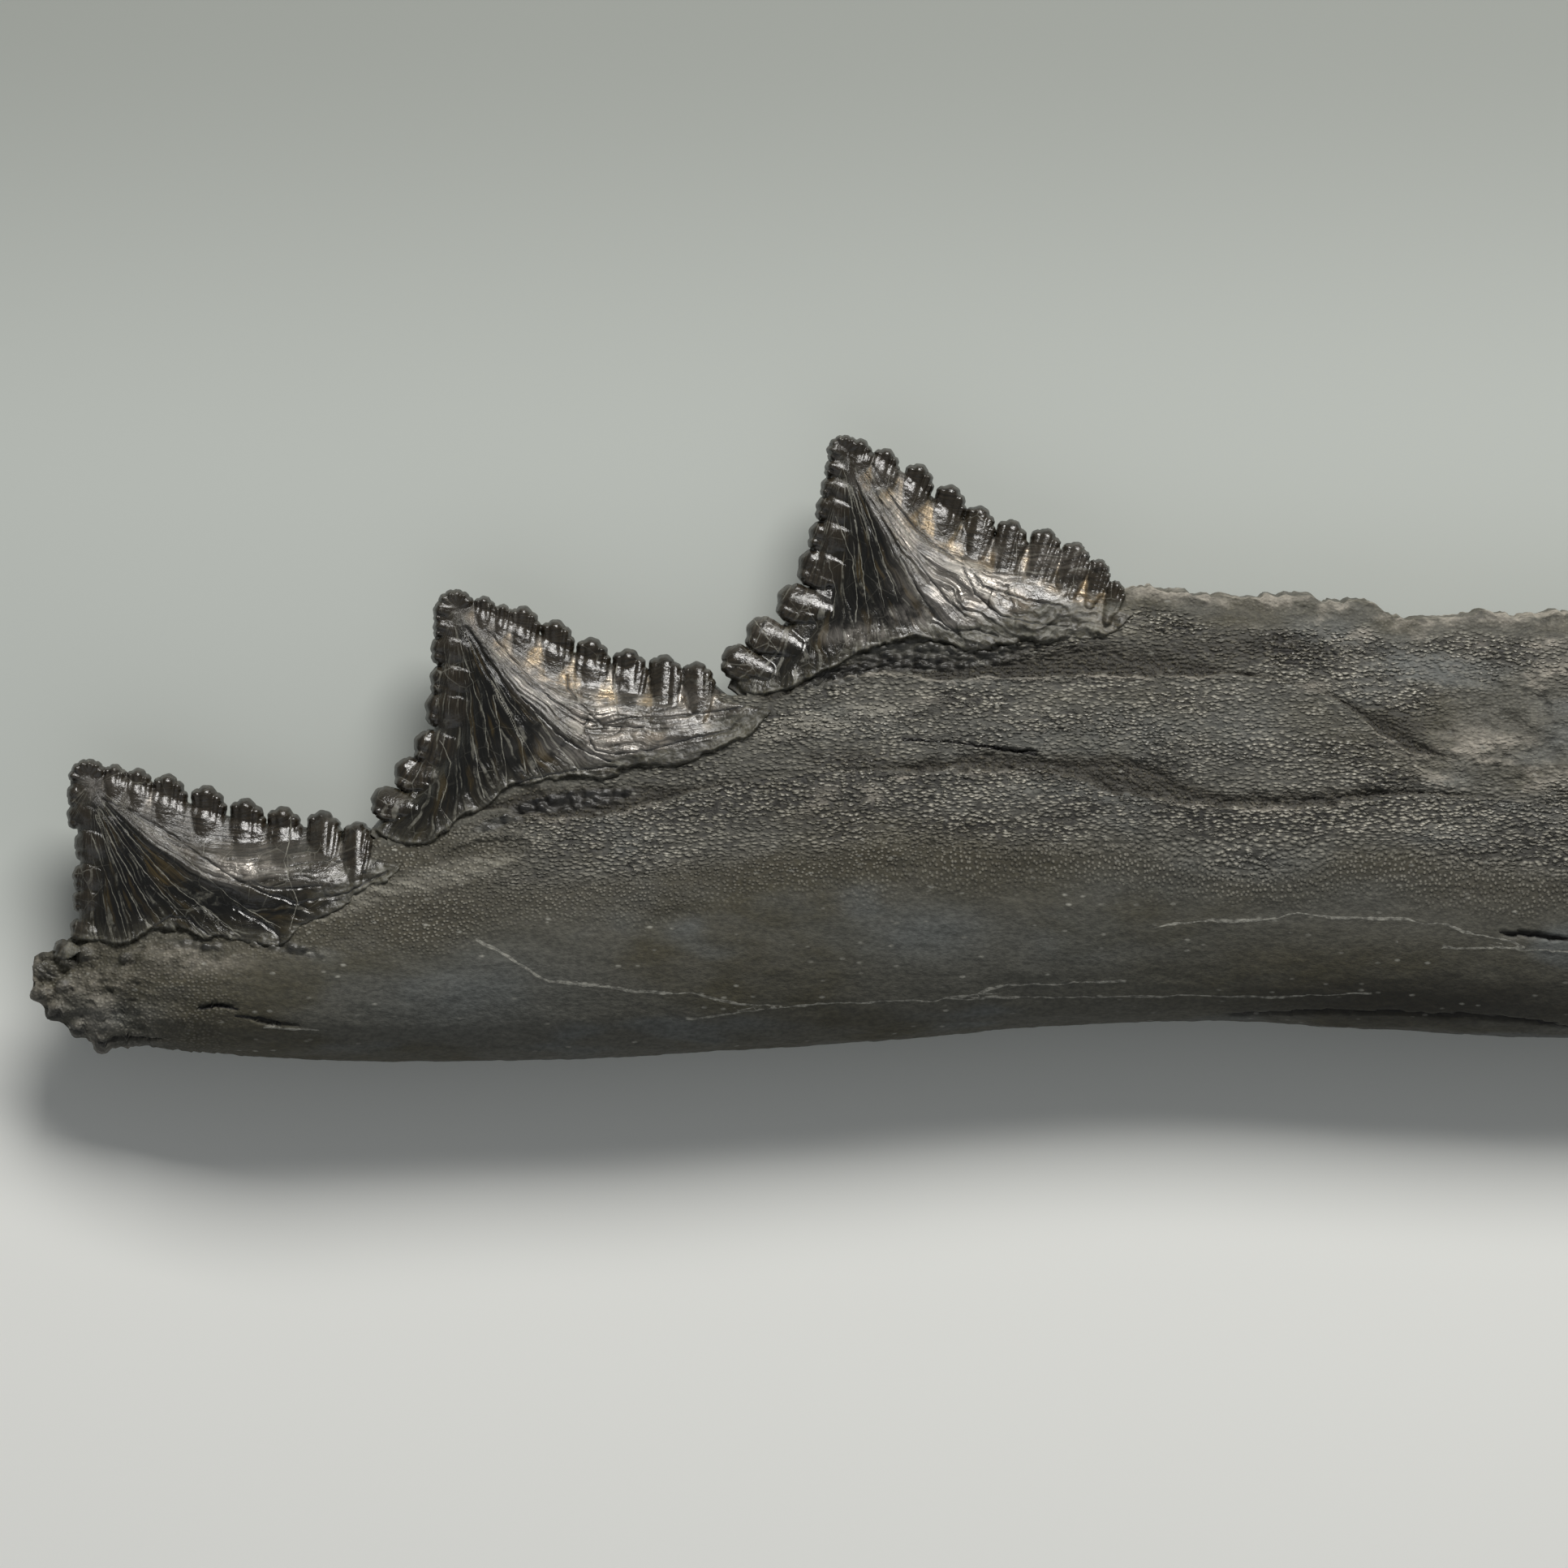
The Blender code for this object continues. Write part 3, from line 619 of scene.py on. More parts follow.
def build_root(name, start, shape_at, counts, step, material, lips):
    """A root lofted from its nose to the break, with its relief raised along the surface.

    The counts are the points down the near flank, underneath, up the far flank and over the top; the lips are
    how deep the flanks dip at the upper and the lower seam.
    """
    growing = CLOSEST + (1 - CLOSEST) * np.arange(MOST_SECTIONS) / CLOSE_SECTIONS
    stops = start + np.cumsum(step * np.clip(growing, CLOSEST, 1)) - CLOSEST * step
    stops = np.append(stops[stops < BREAK_X - 0.5 * step], BREAK_X)
    sections = np.stack([root_section(x, *shape_at(x), counts) for x in stops])
    x = np.repeat(stops[:, None], sections.shape[1], 1)
    y, z = sections[..., 0], sections[..., 1]
    near, far_start = counts[0], sections.shape[1] - (counts[3] - 2) - counts[2]
    far_end = far_start + counts[2] - 1
    z = seam_grooves(x, y, z, near - 1, start, lips)

    # Along the sharp edges the surface rises and falls with the flank beside them.
    surface = np.stack([x, y, z], -1)
    along = np.gradient(surface, axis=0)
    across = np.roll(surface, -1, 1) - np.roll(surface, 1, 1)
    normal = np.cross(across, along)
    normal /= np.maximum(np.linalg.norm(normal, axis=-1, keepdims=True), 1e-9)
    outward = np.sign((normal[..., 2] * z).sum())
    normal *= outward
    edges = [(0, 2), (1, 2), (far_end, far_end - 2), (far_end - 1, far_end - 2)]
    if lips[1]:
        edges += [(near - 1, near - 3), (near - 2, near - 3)]
        edges += [(far_start, far_start + 2), (far_start + 1, far_start + 2)]
    for column, inner in edges:
        normal[:, column] = normal[:, inner]

    round_y = height_round_corners(y, z, near, far_start, far_end, lips[1] > 0)
    v = round_height(x, y) + round_y - y
    on_near = z > 0
    on_near[:, far_end + 1:] = True
    relief_near, masks_near = bone_relief(x, round_y, v, True)
    relief_far, masks_far = bone_relief(x, round_y, v, False)
    masks = {key: np.where(on_near, masks_near[key], masks_far[key]) for key in masks_near}
    hidden = np.zeros(surface.shape[1])
    hidden[near:far_start] = 1 if lips[1] else 0
    hidden[far_end + 1:] = 1 if lips[0] else 0.3
    relief = np.where(on_near, relief_near, relief_far * FAR_RELIEF) * (1 - hidden)
    surface = surface + normal * relief[..., None]

    # The bone stays inside its sizes.
    surface[..., 0] = np.maximum(np.where(x >= BREAK_X - 0.01, x, surface[..., 0]), NOSE_X + 0.04)
    surface[..., 1] = np.maximum(surface[..., 1], 0.03)
    surface[..., 2] = np.clip(surface[..., 2], -MID_Z + 0.02, NEAR_HALF + 0.16)

    surface = close_broken_end(surface, far_end, step, END_SEED + int(start))
    for key in masks:
        plain = np.full((len(CLOSING_RINGS), surface.shape[1]), NO_LINE_AWAY if key == "line_away" else 0.0)
        masks[key] = np.concatenate([masks[key], plain])
    masks["inside"] = np.zeros(surface.shape[:2])
    masks["inside"][len(stops):] = 1

    rows, columns = surface.shape[:2]
    number = np.arange(rows * columns).reshape(rows, columns)
    beside = np.roll(number, -1, 1)
    quads = np.stack([number[:-1], beside[:-1], beside[1:], number[1:]], -1).reshape(-1, 4)
    cap = number[0][::-1][None]
    if outward < 0:
        quads, cap = quads[:, ::-1], cap[:, ::-1]
    return add_mesh(name, surface.reshape(-1, 3), [quads, cap], masks, material)


class Finish:
    """A material whose colour is laid on coat by coat, with short calls for its nodes."""

    def __init__(self, name, tint):
        self.material = bpy.data.materials.new(name)
        self.material.use_nodes = True
        self.tree = self.material.node_tree
        self.where = self.add("ShaderNodeTexCoord").outputs["Object"]
        self.tint = tint
        self.normal = None

    def fill(self, node, sockets):
        """Joins or sets a node's sockets, which are named, or numbered as i0, i1 and so on."""
        for key, value in sockets.items():
            socket = node.inputs[int(key[1:]) if key[1:].isdigit() else key.replace("_", " ")]
            if isinstance(value, bpy.types.NodeSocket):
                self.tree.links.new(value, socket)
            else:
                socket.default_value = value

    def add(self, kind, settings=None, **sockets):
        node = self.tree.nodes.new(kind)
        for key, value in (settings or {}).items():
            setattr(node, key, value)
        self.fill(node, sockets)
        return node

    def mask(self, name):
        return self.add("ShaderNodeAttribute", {"attribute_name": name}).outputs["Fac"]

    def calc(self, operation, *values):
        sockets = {f"i{k}": value for k, value in enumerate(values)}
        return self.add("ShaderNodeMath", {"operation": operation}, **sockets).outputs[0]

    def times(self, first, *others):
        for other in others:
            first = self.calc("MULTIPLY", first, other)
        return first

    def less(self, value, share=1.0):
        """What is left of 1 when that share of a value is taken off."""
        return self.calc("MULTIPLY_ADD", value, -share, 1.0)

    def spread(self, value, low, high, start=0.0, end=1.0):
        """Maps low..high of a value to start..end, with an S between them."""
        return self.add("ShaderNodeMapRange", {"interpolation_type": "SMOOTHSTEP"}, Value=value, i1=low, i2=high,
                        i3=start, i4=end).outputs[0]

    def mix(self, share, first, second, blend="MIX"):
        return self.add("ShaderNodeMix", {"data_type": "RGBA", "blend_type": blend}, i0=share, i6=first,
                        i7=second).outputs[2]

    def coat(self, tint, *shares):
        """Lays a colour over what is there, as thickly as all the shares multiplied together."""
        self.tint = self.mix(self.times(*shares), self.tint, tint)

    def vector(self, operation, **sockets):
        return self.add("ShaderNodeVectorMath", {"operation": operation}, **sockets).outputs[0]

    def noise(self, size, detail=4.0, roughness=0.55, squash=(1, 1, 1)):
        """Noise with features of that size in millimetres."""
        scaled = self.vector("MULTIPLY", i0=self.where, i1=tuple(k / (size * MM) for k in squash))
        return self.noise_on(scaled, detail, roughness)

    def noise_on(self, where, detail, roughness):
        return self.add("ShaderNodeTexNoise", None, Vector=where, Scale=1.0, Detail=detail,
                        Roughness=roughness).outputs["Fac"]

    def lay(self, across, up, wide, tall):
        """Two measures of the surface, counted in cells of that width and height."""
        return self.add("ShaderNodeCombineXYZ", None, X=self.calc("DIVIDE", across, wide),
                        Y=self.calc("DIVIDE", up, tall)).outputs[0]

    def cells(self, where, scale=1.0, flat=True, edges=False, loose=1.0):
        settings = {"feature": "DISTANCE_TO_EDGE" if edges else "F1", "voronoi_dimensions": "2D" if flat else "3D"}
        return self.add("ShaderNodeTexVoronoi", settings, Vector=where, Scale=scale, Randomness=loose).outputs

    def chance(self, cells):
        """A steady random number for each cell."""
        return self.add("ShaderNodeSeparateColor", None, Color=cells["Color"]).outputs[0]

    def bump(self, height, strength, rise):
        """Raises the surface by that many millimetres, over the bumps that it has already."""
        under = {} if self.normal is None else {"Normal": self.normal}
        self.normal = self.add("ShaderNodeBump", None, Strength=strength, Distance=rise * MM, Height=height,
                               **under).outputs["Normal"]

    def done(self, **sockets):
        """Joins the colour, the bumps and the given sockets to the shader."""
        if self.normal is not None:
            sockets["Normal"] = self.normal
        self.fill(self.tree.nodes["Principled BSDF"], {"Base_Color": self.tint, **sockets})
        return self.material


def colour(red, green, blue):
    return (red, green, blue, 1.0)


BONE_GREY = colour(0.064, 0.062, 0.050)
BONE_BROWN = colour(0.043, 0.038, 0.021)
BONE_OLIVE = colour(0.030, 0.025, 0.013)
BONE_UMBER = colour(0.012, 0.010, 0.005)
GRAIN_UMBER = colour(0.120, 0.102, 0.056)
BONE_SLATE = colour(0.022, 0.022, 0.022)
BONE_BLUE_STAIN_AND_SHEEN = colour(0.082, 0.088, 0.085)
BONE_PALE = colour(0.285, 0.260, 0.218)
BONE_BLACK = colour(0.008, 0.007, 0.006)
GRAIN_PALE = colour(0.315, 0.300, 0.252)
VEIN_PALE = colour(0.24, 0.235, 0.205)
SHADE_DARK, SHADE_LIGHT = colour(0.72, 0.72, 0.72), colour(1.25, 1.25, 1.25)
# Sizes of the painted grain and dots in millimetres: along the bone and up its flank.
PAINTED_GRAIN = (0.82, 0.40)
PAINTED_DOTS = (0.60, 0.50)
BONE_SHEEN = 0.5


def bone_material():
    """Matt grey-black fossil bone: brown and blue-grey stains, paler grain tops, pale veins and black cracks, with
    painted sheen in a blue-grey band, painted shade along the lower keel, and painted highlight on some grain
    bands and pocket lips.
    """
    bone = Finish("fossil_bone", BONE_GREY)
    mask, spread = bone.mask, bone.spread
    fine = bone.noise(0.45, 3.0, 0.6, (0.6, 1, 1))
    mottled = bone.noise(3.0, 5.0, 0.6, (0.5, 1, 1))
    cloudy = bone.noise(12.0, 3.0)
    # Brown stains, with painted shade along the lower keel.
    bone.coat(BONE_BROWN, mask("brown"), spread(mottled, 0.3, 0.7, 0.55, 1.0))
    # Blue-grey stains, and a painted sheen along the front flank.
    bone.coat(BONE_BLUE_STAIN_AND_SHEEN, mask("blue"), spread(cloudy, 0.3, 0.7, 0.5, 1.0))

    # Grains lie along the bone with a little swirl, every one in its own tone, with slits and dark gaps between.
    along = bone.times(bone.add("ShaderNodeSeparateXYZ", None, Vector=bone.where).outputs["X"], 1 / MM)
    height = mask("round_height")
    eddies = bone.add("ShaderNodeTexNoise", None, Vector=bone.where, Scale=420.0, Detail=2.0).outputs["Color"]
    swirl = bone.vector("SCALE", i0=eddies, i3=0.9)
    grain = bone.cells(bone.vector("ADD", i0=swirl, i1=bone.lay(along, height, *PAINTED_GRAIN)))
    slit = spread(bone.noise(0.62, 2.0, 0.5, (0.26, 1, 1)), 0.45, 0.36)
    rice_top = bone.times(spread(grain["Distance"], 0.60, 0.14), mask("rice"), bone.less(slit))
    dot = bone.cells(bone.lay(along, height, *PAINTED_DOTS), loose=0.8)
    dot_top = bone.times(spread(dot["Distance"], 0.42, 0.12), mask("dots"))
    umber, blister = mask("umber"), mask("blister")
    grain_colour = bone.mix(umber, GRAIN_PALE, GRAIN_UMBER)
    # Umber in the recesses, and painted shade along the lower keel.
    bone.coat(BONE_UMBER, umber, 0.9)
    # Grain tops are paler by their own tone, where rubbed, and in bands of painted highlight.
    bone.coat(grain_colour, rice_top, mask("frost_and_highlight"), spread(mottled, 0.38, 0.60, 0.6, 1.3),
              spread(bone.chance(grain), 0.1, 0.9, 0.35, 1.4))
    bone.coat(GRAIN_PALE, mask("grain"), spread(mottled, 0.35, 0.65, 0.10, 0.55))
    gaps = bone.times(mask("rice"), bone.less(mask("blue"), 0.65))
    bone.coat(BONE_BLACK, gaps, spread(grain["Distance"], 0.40, 0.64, 0.0, 0.85))
    bone.coat(BONE_BLACK, slit, gaps, 0.60)
    bone.coat(BONE_OLIVE, mask("dots"), 0.6)
    bone.coat(grain_colour, dot_top, spread(mottled, 0.35, 0.65, 0.10, 0.45))
    bone.coat(BONE_SLATE, blister, 0.8)
    bone.coat(BONE_PALE, mask("pale"), spread(mottled, 0.42, 0.57, 0.12, 0.95))
    bone.coat(GRAIN_PALE, mask("streak"), 0.5)
    bone.coat(BONE_BLACK, mask("pocket"), 0.8)

    # One cell in three holds a pale speck.
    specks = bone.cells(bone.vector("MULTIPLY", i0=bone.where, i1=(0.5, 1, 1)), scale=950.0, flat=False)
    rare = bone.calc("GREATER_THAN", bone.chance(specks), 0.66)
    bone.coat(VEIN_PALE, spread(specks["Distance"], 0.24, 0.08), rare, spread(mottled, 0.4, 0.62, 0.25, 0.85))

    # Veins and cracks run along drawn lines, now wider and now narrower.
    width = spread(mottled, 0.38, 0.62, 0.06, 0.22)
    on_line = bone.calc("LESS_THAN", bone.calc("ABSOLUTE", mask("line_side")), width)
    line = bone.times(on_line, spread(mask("line_away"), 0.5, 0.3))
    bone.coat(VEIN_PALE, line, mask("line_kind"), spread(fine, 0.35, 0.62, 0.3, 0.85))
    bone.coat(BONE_BLACK, line, bone.less(mask("line_kind")))
    bone.coat(BONE_GREY, mask("inside"), 0.6)
    bone.tint = bone.mix(1.0, bone.tint, bone.mix(spread(fine, 0.3, 0.7), SHADE_DARK, SHADE_LIGHT), "MULTIPLY")

    bone.bump(fine, 0.7, 0.14)
    bone.bump(mottled, 0.5, 0.30)
    bone.bump(rice_top, 1.0, 0.42)
    bone.bump(dot_top, 0.8, 0.14)
    roughness = bone.calc("MULTIPLY_ADD", blister, -0.42, spread(rice_top, 0.2, 0.9, 0.72, 0.36))
    return bone.done(Roughness=roughness, Specular_IOR_Level=BONE_SHEEN)


bone = bone_material()


# How far a root reaches past its seam, and how far its flank dips there.
SEAM_OVERLAP = 0.22
SEAM_DIP = 0.16


def wave(x, size, row, seed):
    """A single smooth ripple of that size along the jaw."""
    return float(ripple(np.array(x / size), np.array(row), seed))


def front_trough(x):
    return TROUGH_FRONT * ease(x, 48.0, 66.0)


def front_shape(x):
    """Lower edge, upper edge, depth of the hollow underneath and depth of the trough on top, at one place."""
    under = ease(x, 38.0, 48.0)
    ragged = 0.55 * wave(x, 1.25, 0.3, 63) * ease(x, 11.0, 8.0)
    top = (1 - under) * (crown_floor(x) + 0.6 + ragged) + under * (front_suture(np.array(x)) + SEAM_OVERLAP)
    chipped = 0.40 * wave(x, 1.5, 0.6, 64) + 0.25 * wave(x, 0.6, 0.6, 65)
    low = keel(x) + abs(chipped) * ease(x, 40.0, 14.0)
    return low, float(top), None, float(front_trough(x) - 0.9 * (1 - under))


front_root = build_root("front_root", start=4.25, shape_at=front_shape, counts=(112, 0, 42, 14), step=0.37,
                        material=bone, lips=(SEAM_DIP, 0.0))
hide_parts("front_tooth")
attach(front_root, "root")

# Root of the middle tooth
# The second root in the stack, a slimmer V of the same bone lying in the trough of the front one. Its lower
# edge is a ragged seam with brown-black pockets where rock and splinters have dropped out.


def middle_trough(x):
    return TROUGH_MIDDLE * ease(x, 92.0, 108.0)


def middle_shape(x):
    low = float(front_suture(np.array(x))) - SEAM_OVERLAP
    under = ease(x, 80.0, 92.0)
    top = (1 - under) * (crown_floor(x) + 0.4) + under * (rear_suture(np.array(x)) + SEAM_OVERLAP)
    return low, float(max(top, low + 1.0)), float(front_trough(x)), float(middle_trough(x) - 0.8 * (1 - under))


middle_root = build_root("middle_root", start=48.0, shape_at=middle_shape, counts=(60, 16, 26, 14), step=0.35,
                         material=bone, lips=(SEAM_DIP, SEAM_DIP))
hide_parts("middle_tooth")
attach(middle_root, "root")

# Root of the rear tooth
# The top root of the stack, V-shaped like the others. Its upper edge is broken and crusted, and toward the
# back it keeps a patch of the pale grey rock that the jaw was dug from.


def rear_shape(x):
    low = float(rear_suture(np.array(x))) - SEAM_OVERLAP
    ragged = 0.25 * wave(x, 1.3, 0.0, 61) + 0.2 * wave(x, 0.5, 0.0, 62)
    top = float(bone_top(np.array(x)) - 0.15 + ragged * ease(x, 137.0, 140.0))
    return low, max(top, low + 1.2), float(middle_trough(x)), -0.8


rear_root = build_root("rear_root", start=92.0, shape_at=rear_shape, counts=(92, 16, 34, 20), step=0.33,
                       material=bone, lips=(0.0, SEAM_DIP))
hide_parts("rear_tooth")
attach(rear_root, "root")

# Crowns of the three teeth
# Each is a triangular enamel blade with saw-edged sides, every saw tooth itself a small beaded bud on a rib.
# The enamel is black and glossy, cracked in a fan from the tip, and worn to a pewter sheen on its rear slope.

GRID = 0.136
EDGE_HALF = 1.15
BLADE_EDGE = 0.80
BLADE_SLOPE = 0.40
BLADE_CAP = 5.3
ENAMEL = 0.16
RIDGE_ROUNDING = 1.6
SADDLE_DEPTH = 0.55
FOOT_OVERLAP = 0.9
SKIRT_DROP = 0.75
FLAKE_RISE, CHIP_DEPTH = 0.26, 0.14
CRUMB_RISE, SPLIT_DEPTH, FAN_DEPTH = 0.42, 0.24, 0.14
FAR_CROWN_SEED = 300
FAR_CRACK_SHIFT = 1.3
FAR_THINNER = 0.985
# The lobes of one saw tooth: downhill place, drop from its top, and radius, all in saw-tooth widths, then the
# length of its rib in widths and its fullness.
TRAILING_LOBES = [(-0.06, 0.00, 0.29, 1.75, 1.00), (-0.31, -0.11, 0.18, 1.20, 0.75),
                  (0.23, -0.20, 0.19, 1.40, 0.85), (0.38, -0.47, 0.14, 0.90, 0.65)]
LEADING_LOBES = [(-0.08, 0.00, 0.38, 1.00, 1.00), (0.24, -0.08, 0.22, 0.75, 0.85), (0.36, -0.24, 0.16, 0.50, 0.65),
                 (-0.37, -0.26, 0.15, 0.50, 0.65)]
WORN_LOBES = [(-0.05, 0.00, 0.42, 0.80, 0.80), (0.30, -0.12, 0.24, 0.60, 0.65)]
# Directions of the beads round the knob at the tip, in degrees.
TIP_BEADS = (168, 136, 108, 82, 56, 30)

